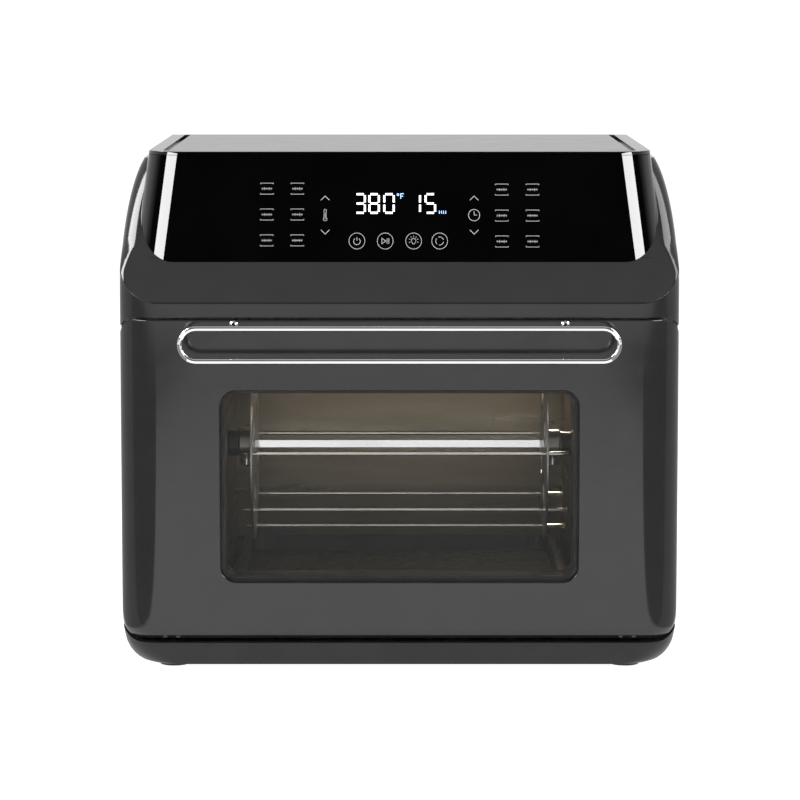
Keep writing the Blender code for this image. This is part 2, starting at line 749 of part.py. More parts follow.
def build_lamp_and_sensor(mats):
    lens_start = CAVITY_HALF - 0.0015
    lens_end = lens_start + LENS_THICKNESS
    lens = rod((lens_start, LAMP_Y, LAMP_Z), (lens_end, LAMP_Y, LAMP_Z), LENS_RADIUS)
    lamp_start = lens_end + CLEARANCE
    neck = lamp_start + LAMP_LENGTH * 0.6
    lamp = new_object(
        "cavity_lamp",
        rod((lamp_start, LAMP_Y, LAMP_Z), (neck, LAMP_Y, LAMP_Z), LAMP_RADIUS * 0.75),
        mats["glass"],
    )
    fuse(lamp, rod((neck - 0.001, LAMP_Y, LAMP_Z), (lamp_start + LAMP_LENGTH, LAMP_Y, LAMP_Z), LAMP_RADIUS))
    sensor_end = -(CAVITY_HALF - 0.018)
    sensor = rod(
        (sensor_end - SENSOR_LENGTH, LAMP_Y, LAMP_Z), (sensor_end, LAMP_Y, LAMP_Z), SENSOR_RADIUS, steps=12
    )
    return [
        finish(new_object("lamp_lens", lens, mats["glass"])),
        finish(lamp),
        finish(new_object("temperature_sensor", sensor, mats["chrome"])),
    ]


# Hot-air group


def build_impeller(name, radius, low, height, blades, material, disc_on_top):
    disc = 0.0012
    disc_low = low + height - disc if disc_on_top else low
    wheel = new_object(
        name, rod((0, FAN_Y, disc_low), (0, FAN_Y, disc_low + disc), radius, steps=32), material
    )
    fuse(wheel, rod((0, FAN_Y, low), (0, FAN_Y, low + height), FAN_SHAFT_RADIUS + 0.004))
    blade_low = low + 0.0005 if disc_on_top else low + 0.0006
    blade_high = low + height - 0.0006 if disc_on_top else low + height - 0.0005
    blade = BLADE_THICKNESS / 2
    for index in range(blades):
        fin = block(radius * 0.35, radius * 0.985, FAN_Y - blade, FAN_Y + blade, blade_low, blade_high)
        turn = Matrix.Rotation(2 * math.pi * index / blades, 4, "Z")
        centre = Matrix.Translation((0, FAN_Y, 0))
        bmesh.ops.transform(fin, matrix=centre @ turn @ centre.inverted(), verts=fin.verts)
        fuse(wheel, fin)
    bore = FAN_SHAFT_RADIUS + CLEARANCE
    carve(wheel, rod((0, FAN_Y, low - 0.01), (0, FAN_Y, low + height + 0.01), bore))
    return finish(wheel)


def build_fans(mats, pivot):
    fan_low = WELL_TOP - 0.003 - FAN_HEIGHT
    fan = build_impeller(
        "convection_fan", FAN_RADIUS, fan_low, FAN_HEIGHT, FAN_BLADES, mats["aluminium"], True
    )
    cooler = build_impeller(
        "cooling_fan",
        COOLING_FAN_RADIUS,
        COOLING_FAN_LOW,
        COOLING_FAN_HEIGHT,
        FAN_BLADES,
        mats["zinc_steel"],
        False,
    )
    shaft_top = MOTOR_LOW + MOTOR_HEIGHT * 0.7
    shaft = new_object(
        "fan_shaft", rod((0, FAN_Y, fan_low - 0.002), (0, FAN_Y, shaft_top), FAN_SHAFT_RADIUS), mats["chrome"]
    )
    return [hang(piece, pivot) for piece in (fan, cooler, finish(shaft))]


def build_fan_motor(mats):
    motor = new_object(
        "fan_motor",
        rod((0, FAN_Y, MOTOR_LOW), (0, FAN_Y, MOTOR_LOW + MOTOR_HEIGHT), MOTOR_RADIUS),
        mats["motor_grey"],
    )
    bore_top = MOTOR_LOW + MOTOR_HEIGHT * 0.75
    carve(motor, rod((0, FAN_Y, MOTOR_LOW - 0.01), (0, FAN_Y, bore_top), FAN_SHAFT_RADIUS + 0.0005))
    plate_low = MOTOR_LOW + MOTOR_HEIGHT + CLEARANCE
    plate_high = plate_low + 0.0015
    reach = COOLING_FAN_RADIUS + 0.012
    foot_low = ROOF + CLEARANCE
    bracket = new_object(
        "motor_bracket",
        block(-reach, reach, FAN_Y - 0.012, FAN_Y + 0.012, plate_low, plate_high),
        mats["zinc_steel"],
    )
    for side in (-1, 1):
        near, far = sorted((side * (reach - 0.0015), side * reach))
        out_near, out_far = sorted((side * (reach - 0.0015), side * (reach + 0.010)))
        fuse(bracket, block(near, far, FAN_Y - 0.012, FAN_Y + 0.012, foot_low, plate_high))
        fuse(bracket, block(out_near, out_far, FAN_Y - 0.012, FAN_Y + 0.012, foot_low, foot_low + 0.0015))
    return [finish(motor), finish(bracket)]


def spiral_points():
    """The element's tube: a flat spiral that ends in two risers through the well's roof line."""
    z = CAVITY_CEILING + ELEMENT_ABOVE_CEILING
    steps = int(ELEMENT_TURNS * 20)
    points = []
    for step in range(steps + 1):
        share = step / steps
        radius = ELEMENT_INNER_RADIUS + (ELEMENT_OUTER_RADIUS - ELEMENT_INNER_RADIUS) * share
        angle = 2 * math.pi * ELEMENT_TURNS * share
        points.append((radius * math.cos(angle), FAN_Y + radius * math.sin(angle), z))
    return points


def swept_tube(name, points, radius, material, closed=False, sides=2):
    curve = bpy.data.curves.new(name, "CURVE")
    curve.dimensions = "3D"
    curve.bevel_depth = radius
    curve.bevel_resolution = sides
    curve.use_fill_caps = True
    spline = curve.splines.new("POLY")
    spline.points.add(len(points) - 1)
    for target, point in zip(spline.points, points):
        target.co = (*point, 1.0)
    spline.use_cyclic_u = closed
    held = bpy.data.objects.new(name + "_path", curve)
    bpy.context.scene.collection.objects.link(held)
    graph = bpy.context.evaluated_depsgraph_get()
    mesh = bpy.data.meshes.new_from_object(held.evaluated_get(graph))
    bpy.data.objects.remove(held, do_unlink=True)
    bpy.data.curves.remove(curve)
    mesh.materials.clear()
    mesh.materials.append(material)
    obj = bpy.data.objects.new(name, mesh)
    bpy.context.scene.collection.objects.link(obj)
    obj.data.shade_smooth()
    return obj


def build_element(mats):
    element = swept_tube("heating_element", spiral_points(), ELEMENT_TUBE_RADIUS, mats["dark_steel"])
    top = CAVITY_CEILING - CLEARANCE
    low = top - GUARD_THICKNESS
    half = WELL_SIZE / 2 + GUARD_LAP
    guard = new_object(
        "element_guard", block(-half, half, FAN_Y - half, FAN_Y + half, low, top), mats["zinc_steel"]
    )
    pitch = WELL_SIZE / (GUARD_SLOTS + 0.5)
    slots = []
    for row in range(GUARD_SLOTS):
        y = FAN_Y + (row - (GUARD_SLOTS - 1) / 2) * pitch
        for x in (-WELL_SIZE / 4, WELL_SIZE / 4):
            reach = WELL_SIZE / 4 - 0.006
            slots.append(
                block(x - reach, x + reach, y - pitch * 0.33, y + pitch * 0.33, low - 0.01, top + 0.01)
            )
    return [element, finish(carve(guard, merge(slots)))]


# Rotisserie


def build_spit_drive(mats, pivot):
    """The gear motor outside the liner's right wall, and the socket that it turns."""
    size_x, size_y, size_z = GEAR_MOTOR_SIZE
    start = CAVITY_HALF + LINER_WALL + CLEARANCE
    motor = new_object("rotisserie_motor", block(
        start, start + size_x, SPIT_Y - size_y / 2, SPIT_Y + size_y / 2,
        SPIT_HEIGHT - size_z / 2, SPIT_HEIGHT + size_z / 2,
    ), mats["motor_grey"])
    end = SOCKET_START + SOCKET_LENGTH
    carve(
        motor,
        rod((start - 0.01, SPIT_Y, SPIT_HEIGHT), (end + 0.0005, SPIT_Y, SPIT_HEIGHT), SOCKET_RADIUS + 0.0005),
    )
    socket = new_object(
        "drive_socket",
        rod((SOCKET_START, SPIT_Y, SPIT_HEIGHT), (end, SPIT_Y, SPIT_HEIGHT), SOCKET_RADIUS),
        mats["dark_steel"],
    )
    side = SPIT_HALF_SIDE + CLEARANCE
    carve(socket, block(
        SOCKET_START - 0.01, end - 0.003, SPIT_Y - side, SPIT_Y + side, SPIT_HEIGHT - side, SPIT_HEIGHT + side
    ))
    return [finish(motor), hang(finish(socket), pivot)]


def build_spit_shaft(mats, pivot):
    square_end = SOCKET_START + SOCKET_LENGTH - 0.003 - CLEARANCE
    bearing_face = -(CAVITY_HALF - CLEARANCE - BEARING_LENGTH)
    square_start = bearing_face + CLEARANCE
    side = SPIT_HALF_SIDE
    shaft = new_object("rotisserie_shaft", block(
        square_start, square_end, SPIT_Y - side, SPIT_Y + side, SPIT_HEIGHT - side, SPIT_HEIGHT + side
    ), mats["steel"])
    tip = -(CAVITY_HALF - 0.002)
    fuse(shaft, rod((tip, SPIT_Y, SPIT_HEIGHT), (square_start + 0.001, SPIT_Y, SPIT_HEIGHT), side * 0.85))
    wall = -(CAVITY_HALF - CLEARANCE)
    bush = new_object(
        "idler_bearing",
        rod((wall, SPIT_Y, SPIT_HEIGHT), (bearing_face, SPIT_Y, SPIT_HEIGHT), BEARING_RADIUS),
        mats["dark_steel"],
    )
    carve(bush, rod(
        (wall - 0.01, SPIT_Y, SPIT_HEIGHT),
        (bearing_face + 0.01, SPIT_Y, SPIT_HEIGHT),
        side * 0.85 + CLEARANCE,
    ))
    return [hang(finish(shaft), pivot), finish(bush)]


def build_wheel(name, side, mats):
    """One spit wheel: a thin disc on the inner side of a hub, with holes for the skewers."""
    inner = side * WHEEL_INNER
    outer = side * WHEEL_OUTER
    hub_end = side * (WHEEL_OUTER + HUB_LENGTH)
    wheel = new_object(
        name,
        rod((inner, SPIT_Y, SPIT_HEIGHT), (outer, SPIT_Y, SPIT_HEIGHT), WHEEL_RADIUS, steps=40),
        mats["zinc_steel"],
    )
    fuse(wheel, rod((inner, SPIT_Y, SPIT_HEIGHT), (hub_end, SPIT_Y, SPIT_HEIGHT), HUB_RADIUS))
    square = SPIT_HALF_SIDE + CLEARANCE
    near, far = sorted((inner - side * 0.01, hub_end + side * 0.01))
    carve(
        wheel, block(near, far, SPIT_Y - square, SPIT_Y + square, SPIT_HEIGHT - square, SPIT_HEIGHT + square)
    )
    holes = []
    for index in range(SKEWER_COUNT):
        y, z = skewer_place(index)
        holes.append(rod((near, y, z), (far, y, z), SKEWER_RADIUS + SKEWER_HOLE_CLEARANCE, steps=12))
        angle = 2 * math.pi * (index + 0.5) / SKEWER_COUNT
        if index % 2 == 0:
            y = SPIT_Y + WHEEL_WINDOW_CIRCLE * math.sin(angle)
            z = SPIT_HEIGHT + WHEEL_WINDOW_CIRCLE * math.cos(angle)
            holes.append(rod((near, y, z), (far, y, z), WHEEL_WINDOW_RADIUS))
    carve(wheel, merge(holes))
    x = side * (WHEEL_OUTER + HUB_LENGTH / 2)
    carve(
        wheel,
        rod(
            (x, SPIT_Y, SPIT_HEIGHT),
            (x, SPIT_Y, SPIT_HEIGHT - 2 * HUB_RADIUS),
            SCREW_RADIUS + CLEARANCE,
            steps=12,
        ),
    )
    return finish(wheel)


def skewer_place(index):
    angle = 2 * math.pi * index / SKEWER_COUNT
    return SPIT_Y + SKEWER_CIRCLE * math.sin(angle), SPIT_HEIGHT + SKEWER_CIRCLE * math.cos(angle)


def build_thumbscrew(name, side, mats):
    x = side * (WHEEL_OUTER + HUB_LENGTH / 2)
    tip = SPIT_HEIGHT - SPIT_HALF_SIDE - 2 * CLEARANCE
    seat = SPIT_HEIGHT - HUB_RADIUS - CLEARANCE
    head = seat - SCREW_HEAD_HEIGHT
    screw = new_object(name, rod((x, SPIT_Y, head), (x, SPIT_Y, seat), SCREW_HEAD_RADIUS), mats["chrome"])
    return finish(fuse(screw, rod((x, SPIT_Y, seat - 0.001), (x, SPIT_Y, tip), SCREW_RADIUS, steps=12)))


def build_spit_wheels(mats, pivot):
    pieces = []
    for label, side in (("left", -1), ("right", 1)):
        pieces.append(hang(build_wheel(f"spit_wheel_{label}", side, mats), pivot))
        x = side * (WHEEL_OUTER + HUB_LENGTH / 2)
        screw_pivot = make_pivot(f"thumbscrew_{label}_axis", (x, SPIT_Y, SPIT_HEIGHT), pivot)
        pieces.append(hang(build_thumbscrew(f"thumbscrew_{label}", side, mats), screw_pivot))
    return pieces


def build_skewers(mats, pivot):
    left = -(WHEEL_OUTER + 0.006)
    right = CAVITY_HALF - 0.003
    pieces = []
    for index in range(SKEWER_COUNT):
        y, z = skewer_place(index)
        skewer = rod((left, y, z), (right, y, z), SKEWER_RADIUS, steps=10)
        pieces.append(hang(finish(new_object(f"skewer_{index + 1}", skewer, mats["chrome"])), pivot))
    return pieces


# Door


def door_front(z):
    """The door's face, which turns under at its foot in a quarter round on the hinge axis."""
    if z >= HINGE_Z:
        return FACE
    drop = min(HINGE_ROUND, HINGE_Z - z)
    return HINGE_Y - math.sqrt(HINGE_ROUND**2 - drop**2)


def door_half_width(z):
    """Half width of the door, whose lower corners are rounded as seen from the front."""
    below = min(1.0, max(0.0, (DOOR_BOTTOM + DOOR_LOWER_ROUND - z) / DOOR_LOWER_ROUND))
    return HALF_WIDTH - DOOR_LOWER_ROUND * (1 - math.sqrt(1 - below * below))


def door_upper_inset(z):
    """How far the round of the door's upper corners has come in from its side at this height."""
    above = min(1.0, max(0.0, (z - DOOR_TOP + DOOR_UPPER_ROUND) / DOOR_UPPER_ROUND))
    return DOOR_UPPER_ROUND * (1 - math.sqrt(1 - above * above))


def door_back(z):
    """The rear edge of the door's sides, which clears the body as the door swings."""
    if z < HINGE_Z:
        return HINGE_Y + math.sqrt(WRAP_RADIUS**2 - (HINGE_Z - z) ** 2)
    top = DOOR_TOP - DOOR_REAR_TOP_ROUND
    if z > top:
        rise = min(DOOR_REAR_TOP_ROUND, z - top)
        return FACE + DOOR_WRAP - DOOR_REAR_TOP_ROUND + math.sqrt(DOOR_REAR_TOP_ROUND**2 - rise**2)
    return FACE + DOOR_WRAP


def door_heights():
    foot = [HINGE_Z - HINGE_ROUND * math.cos(math.radians(a)) for a in (0, 25, 45, 65, 90)]
    side = [DOOR_BOTTOM + DOOR_LOWER_ROUND * share for share in (0.66, 1.0)]
    top = DOOR_TOP - DOOR_UPPER_ROUND
    crown = [top + DOOR_UPPER_ROUND * math.sin(math.radians(a)) for a in (0, 20, 35, 48, 60, 70, 80, 90)]
    return foot + side + crown


def build_door_outer_frame(mats):
    rings = []
    for z in door_heights():
        radius = min(BODY_CORNER_RADIUS, door_back(z) - door_front(z) - 0.001)
        rings.append(plan_ring(z, door_half_width(z), door_front(z), door_back(z), radius, 0.0005))
    frame = new_object("door_outer_frame", loft(rings), mats["gloss_charcoal"])
    whole = prism(face_outline(HALF_WIDTH, -HEIGHT, DOOR_TOP, DOOR_UPPER_ROUND), FACE - WALL, BACK)
    combine(frame, whole, "INTERSECT")
    inner_low = DOOR_BOTTOM + WALL
    inner_high = DOOR_TOP - WALL
    beyond = FACE + 2 * DOOR_WRAP
    hollow = []
    bend = DOOR_TOP - DOOR_UPPER_ROUND
    crown = [bend + (inner_high - bend) * share for share in (0.0, 0.5, 0.8, 1.0)]
    for z in (inner_low, HINGE_Z, DOOR_BOTTOM + DOOR_LOWER_ROUND, *crown):
        half = door_half_width(z) - door_upper_inset(z) - WALL
        hollow.append(plan_ring(z, half, door_front(z) + WALL, beyond, BODY_CORNER_RADIUS - WALL))
    carve(frame, loft(hollow))
    lip_half = HINGE_SPACING / 2 + HINGE_FOOT
    carve(
        frame,
        block(-lip_half, lip_half, door_lip_back(), beyond, DOOR_BOTTOM - 0.01, DOOR_BOTTOM + WALL + 0.0005),
    )
    window = face_outline(WINDOW_WIDTH / 2, WINDOW_LOW, WINDOW_LOW + WINDOW_HEIGHT, WINDOW_RADIUS)
    carve(frame, prism(window, FACE - 0.01, FACE + 0.01))
    tab = HINGE_TAB_THICKNESS / 2 + HINGE_SLOT_CLEARANCE
    for side in (-1, 1):
        x = side * HINGE_SPACING / 2
        for direction in (-1, 1):
            near = x + direction * tab
            far = near + direction * HINGE_LUG_THICKNESS
            fuse(frame, hinge_lug(*sorted((near, far))))
        slot = block(
            x - tab, x + tab, HINGE_Y - 0.0035, beyond, DOOR_BOTTOM - 0.01, DOOR_BOTTOM + WALL + 0.0005
        )
        reach = tab + HINGE_LUG_THICKNESS + 0.001
        bore = rod((x - reach, HINGE_Y, HINGE_Z), (x + reach, HINGE_Y, HINGE_Z), HINGE_PIN_RADIUS + CLEARANCE)
        carve(frame, slot, bore)
    return [finish(frame)]


def door_lip_back():
    """How far back the door's foot may reach and still pass the seal and the hinge feet as it turns."""
    swing = FRAME_FRONT - 4 * CLEARANCE - max(SEAL_THICKNESS, HINGE_FOOT_THICKNESS) - HINGE_Y
    return HINGE_Y + math.sqrt(swing**2 - HINGE_ROUND**2)


def hinge_lug(near, far):
    """A rib inside the door's foot that carries one end of a hinge pin."""
    low = DOOR_BOTTOM + WALL * 0.6
    rib = block(near, far, FACE + WALL * 0.6, HINGE_Y + HINGE_LUG_RADIUS, low, HINGE_Z + HINGE_LUG_RADIUS)
    return rib


def build_hinges(mats, pivot):
    pieces = []
    for label, side in (("left", -1), ("right", 1)):
        x = side * HINGE_SPACING / 2
        half = HINGE_TAB_THICKNESS / 2
        foot_back = FRAME_FRONT - CLEARANCE
        bracket = new_object(
            f"hinge_bracket_{label}",
            rod((x - half, HINGE_Y, HINGE_Z), (x + half, HINGE_Y, HINGE_Z), HINGE_TAB_RADIUS),
            mats["zinc_steel"],
        )
        arm = HINGE_ARM_HALF_HEIGHT
        fuse(bracket, block(x - half, x + half, HINGE_Y, foot_back, HINGE_Z - arm, HINGE_Z + arm))
        foot = HINGE_FOOT / 2
        foot_front = foot_back - HINGE_FOOT_THICKNESS
        fuse(bracket, block(x - foot, x + foot, foot_front, foot_back, HINGE_Z - arm, HINGE_Z + arm))
        hole = HINGE_PIN_RADIUS + CLEARANCE
        carve(bracket, rod((x - 0.01, HINGE_Y, HINGE_Z), (x + 0.01, HINGE_Y, HINGE_Z), hole))
        reach = half + HINGE_SLOT_CLEARANCE + HINGE_LUG_THICKNESS
        pin = rod((x - reach, HINGE_Y, HINGE_Z), (x + reach, HINGE_Y, HINGE_Z), HINGE_PIN_RADIUS)
        pin = new_object(f"hinge_pin_{label}", pin, mats["zinc_steel"])
        pieces += [finish(bracket), hang(finish(pin), pivot)]
    return pieces


def build_door_glazing(mats, pivot):
    """Outer pane, tunnel bezel, inner pane and the steel panel that closes the back of the door."""
    half = WINDOW_WIDTH / 2
    low = WINDOW_LOW
    high = WINDOW_LOW + WINDOW_HEIGHT
    outer_front = FACE + WALL + CLEARANCE
    outer_back = outer_front + GLASS_THICKNESS
    inner_front = INNER_GLASS_BACK - GLASS_THICKNESS
    lap = GLASS_LAP
    pane = face_outline(half + lap, low - lap, high + lap, WINDOW_RADIUS)
    clear = face_outline(half - BEZEL_STEP, low + BEZEL_STEP, high - BEZEL_STEP, WINDOW_RADIUS - BEZEL_STEP)
    outer = new_object("door_glass_outer", prism(pane, outer_front, outer_back), mats["glass"])
    bezel = new_object(
        "window_bezel", prism(pane, outer_back + CLEARANCE, inner_front - CLEARANCE), mats["black_plastic"]
    )
    carve(bezel, prism(clear, outer_front, INNER_GLASS_BACK))
    inner = new_object("door_glass_inner", prism(pane, inner_front, INNER_GLASS_BACK), mats["glass"])
    panel_half = HALF_WIDTH - WALL - 2 * CLEARANCE
    panel_low = HINGE_Z + 0.010
    panel_high = DOOR_TOP - WALL - CLEARANCE
    panel = new_object("door_inner_panel", prism(
        face_outline(panel_half, panel_low, panel_high, DOOR_UPPER_ROUND), INNER_PANEL_FRONT, INNER_PANEL_BACK
    ), mats["steel"])
    carve(panel, prism(clear, INNER_PANEL_FRONT - 0.01, INNER_PANEL_BACK + 0.01))
    return [hang(finish(piece), pivot) for piece in (outer, bezel, inner, panel)]


def build_handle(mats, pivot):
    end_radius = HANDLE_HEIGHT / 2 - HANDLE_TUBE_RADIUS
    straight = HANDLE_LENGTH / 2 - HANDLE_HEIGHT / 2
    points = []
    for side, start in ((1, -90.0), (-1, 90.0)):
        for step in range(13):
            angle = math.radians(start + 180.0 * step / 12)
            points.append(
                (
                    side * straight + end_radius * math.cos(angle),
                    RING_Y,
                    RING_Z + end_radius * math.sin(angle),
                )
            )
    ring = swept_tube("door_handle", points, HANDLE_TUBE_RADIUS, mats["chrome"], closed=True)
    pieces = [hang(ring, pivot)]
    for label, side in (("left", -1), ("right", 1)):
        x = side * POST_SPACING / 2
        start = RING_Y + HANDLE_TUBE_RADIUS + CLEARANCE
        post = rod((x, start, POST_Z), (x, FACE - CLEARANCE, POST_Z), POST_RADIUS)
        pieces.append(hang(finish(new_object(f"handle_post_{label}", post, mats["chrome"])), pivot))
    return pieces


# Electrics


def build_power_board(mats):
    x = -(CAVITY_HALF + 0.030)
    y0 = SPIT_Y - 0.060
    y1 = SPIT_Y + 0.060
    z0 = FOOT_HEIGHT + 0.060
    z1 = z0 + 0.110
    board = new_object("power_board", block(x, x + BOARD_THICKNESS, y0, y1, z0, z1), mats["board_green"])
    parts = ((0.2, 0.25, 0.014, 0.016), (0.7, 0.3, 0.012, 0.020), (0.4, 0.75, 0.016, 0.018))
    for along, up, size, rise in parts:
        y = y0 + (y1 - y0) * along
        z = z0 + (z1 - z0) * up
        fuse(board, block(x + BOARD_THICKNESS / 2, x + rise, y - size, y + size, z - size, z + size))
    wall = -(HALF_WIDTH - WALL - CLEARANCE)
    for y in (y0 + 0.008, y1 - 0.008):
        for z in (z0 + 0.008, z1 - 0.008):
            fuse(board, rod((wall, y, z), (x + BOARD_THICKNESS / 2, y, z), 0.003, steps=10))
    return [finish(board)]


def build_door_switch(mats):
    size_x, size_y, size_z = SWITCH_SIZE
    tip = INNER_PANEL_BACK + CLEARANCE
    end = tip + PLUNGER_LENGTH
    front = FRAME_FRONT + FRAME_THICKNESS + CLEARANCE
    body = new_object("door_switch_body", block(
        SWITCH_X - size_x / 2,
        SWITCH_X + size_x / 2,
        front,
        front + size_y,
        SWITCH_Z - size_z / 2,
        SWITCH_Z + size_z / 2,
    ), mats["black_plastic"])
    stop = end + PLUNGER_TRAVEL + 0.0005
    carve(body, rod((SWITCH_X, front - 0.01, SWITCH_Z), (SWITCH_X, stop, SWITCH_Z), PLUNGER_RADIUS + 0.0004))
    pivot = make_pivot("plunger_slide", (SWITCH_X, tip, SWITCH_Z))
    plunger = new_object(
        "door_switch_plunger",
        rod((SWITCH_X, tip, SWITCH_Z), (SWITCH_X, end, SWITCH_Z), PLUNGER_RADIUS),
        mats["chrome"],
    )
    return [finish(body), hang(finish(plunger), pivot)]


def main():
    clear_scene()
    mats = make_materials()
    door_pivot = make_pivot("door_hinge_axis", (0.0, HINGE_Y, HINGE_Z))
    spit_pivot = make_pivot("rotisserie_axis", (0.0, SPIT_Y, SPIT_HEIGHT))
    fan_pivot = make_pivot("fan_axis", (0.0, FAN_Y, WELL_TOP))
    build_base_plinth(mats)
    build_feet(mats)
    build_main_housing(mats)
    build_top_panel(mats)
    build_control_panel(mats)
    build_control_electronics(mats)
    build_rear_cover(mats)
    build_cord_inlet(mats)
    build_oven_cavity(mats)
    build_front_frame(mats)
    build_door_seal(mats)
    build_drip_tray(mats)
    build_lamp_and_sensor(mats)
    build_element(mats)
    build_fans(mats, fan_pivot)
    build_fan_motor(mats)
    build_spit_drive(mats, spit_pivot)
    build_spit_shaft(mats, spit_pivot)
    build_spit_wheels(mats, spit_pivot)
    build_skewers(mats, spit_pivot)
    for piece in build_door_outer_frame(mats):
        hang(piece, door_pivot)
    build_door_glazing(mats, door_pivot)
    build_handle(mats, door_pivot)
    build_hinges(mats, door_pivot)
    build_power_board(mats)
    build_door_switch(mats)


main()
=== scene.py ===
"""Looks for the countertop rotisserie oven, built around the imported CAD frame.

Metres, +Z up, front towards -Y.
"""

import json
import math

import bmesh
import bpy
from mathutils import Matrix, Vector


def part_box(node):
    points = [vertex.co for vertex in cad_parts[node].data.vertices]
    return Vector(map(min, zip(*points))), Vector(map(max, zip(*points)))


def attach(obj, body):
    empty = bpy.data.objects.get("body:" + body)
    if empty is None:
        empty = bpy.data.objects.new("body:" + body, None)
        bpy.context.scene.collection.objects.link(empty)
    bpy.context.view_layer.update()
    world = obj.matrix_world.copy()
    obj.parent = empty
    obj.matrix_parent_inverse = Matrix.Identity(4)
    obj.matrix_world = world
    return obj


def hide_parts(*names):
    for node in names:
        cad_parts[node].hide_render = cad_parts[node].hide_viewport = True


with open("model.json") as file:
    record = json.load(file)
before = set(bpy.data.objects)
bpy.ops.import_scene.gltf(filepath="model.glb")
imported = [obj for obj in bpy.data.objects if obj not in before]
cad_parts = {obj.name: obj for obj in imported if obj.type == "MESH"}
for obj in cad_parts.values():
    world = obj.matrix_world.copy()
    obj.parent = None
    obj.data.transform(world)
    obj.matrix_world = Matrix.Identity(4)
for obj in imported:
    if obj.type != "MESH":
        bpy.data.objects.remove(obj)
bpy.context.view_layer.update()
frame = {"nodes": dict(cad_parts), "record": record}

# Places read from the frame
DOOR_LOW, DOOR_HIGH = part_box("door_outer_frame")
COVER_LOW, COVER_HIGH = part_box("rear_cover")
HOUSE_LOW, HOUSE_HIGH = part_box("main_housing")
PLATE_LOW, PLATE_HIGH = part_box("top_panel")
PLINTH_LOW, PLINTH_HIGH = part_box("base_plinth")
BEZEL_LOW, BEZEL_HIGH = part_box("window_bezel")
RING_LOW, RING_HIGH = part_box("door_handle")
SHAFT_LOW, SHAFT_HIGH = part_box("rotisserie_shaft")

FACE = DOOR_LOW.y
HALF_WIDTH = DOOR_HIGH.x
HEIGHT = HOUSE_HIGH.z
BACK = COVER_HIGH.y
DOOR_BOTTOM = DOOR_LOW.z
DOOR_TOP = DOOR_HIGH.z
DOOR_REAR = DOOR_HIGH.y
SHELL_BACK = HOUSE_HIGH.y
SHELL_BOTTOM = HOUSE_LOW.z
FOOT_HEIGHT = PLINTH_LOW.z
SPIT = (SHAFT_LOW + SHAFT_HIGH) / 2

# Sizes of the shapes, as in the CAD
WALL = 0.0025
GAP = 0.0003
BODY_RADIUS = 0.025
LOWER_TAPER = 0.013
LOWER_TAPER_HEIGHT = 0.035
SHOULDER_DROP = 0.020
SHOULDER_HEIGHT = 0.074
SHOULDER_STOP = 0.0064
COLLAR_SLOPE = 0.94
COLLAR_HEIGHT = 0.0247
CREASE_HEIGHT = 0.0097
CREASE_ROUND = 0.0009
EDGE_ROUND = 0.0006
EDGE_MOST = 0.016
EDGE_GROWTH = 12.5
HEAD_SIDE_SLOPE = 0.123
HEAD_INSET = 0.0172
PANEL_LEAN = 0.22
PANEL_RADIUS = 0.027
PANEL_THICKNESS = 0.003
PANEL_WRAP = 0.002
PANEL_TOP_LIP = 0.0022
PLATE_RADIUS = 0.018
PLATE_GROOVE = 0.0037
DOOR_GAP = 0.0014
DOOR_LOWER_ROUND = 0.015
DOOR_UPPER_ROUND = 0.012
DOOR_REAR_TOP_ROUND = 0.008
DOOR_EDGE = 0.0008
HINGE_ROUND = 0.007
TAB_PLACE = 0.150
TAB_HALF = 0.003
TAB_WALL = 0.0025
TAB_REACH = 0.0062
WINDOW_RADIUS = 0.0105
GLASS_LAP = 0.007
BEZEL_STEP = 0.003
SCREW_INSET = 0.014
SCREW_SINK = 0.0016

HEAD_BOTTOM = DOOR_TOP + DOOR_GAP
CREASE = HEAD_BOTTOM + CREASE_HEIGHT
PANEL_FOOT = CREASE + COLLAR_HEIGHT
HEAD_TOP_HALF = HALF_WIDTH - HEAD_INSET
BODY_STOP = HEIGHT - SHOULDER_STOP
PANEL_INSET = PANEL_THICKNESS + GAP
HINGE_Y = FACE + HINGE_ROUND
HINGE_Z = DOOR_BOTTOM + HINGE_ROUND
WRAP_RADIUS = DOOR_REAR - HINGE_Y
WINDOW_HALF = BEZEL_HIGH.x - GLASS_LAP
WINDOW_LOW = BEZEL_LOW.z + GLASS_LAP
WINDOW_HIGH = BEZEL_HIGH.z - GLASS_LAP

CUT_PAST = 0.010
FINE = 20
COARSE = 6


# Camera

CAMERA_DISTANCE = 2.400
CAMERA_HEIGHT = 0.4508
CAMERA_PITCH = 6.4218
LENS_LENGTH = 166.32
SENSOR_WIDTH = 36.0
FRAMING_SHIFT = 0.000625
FAR_CLIP = 900.0


def place_camera():
    data = bpy.data.cameras.new("view")
    data.sensor_width = SENSOR_WIDTH
    data.lens = LENS_LENGTH
    data.shift_x = FRAMING_SHIFT
    data.clip_end = FAR_CLIP
    camera = bpy.data.objects.new("view", data)
    bpy.context.scene.collection.objects.link(camera)
    camera.location = (0.0, FACE - CAMERA_DISTANCE, CAMERA_HEIGHT)
    camera.rotation_euler = (math.radians(90.0 - CAMERA_PITCH), 0.0, 0.0)
    bpy.context.scene.camera = camera


# Materials


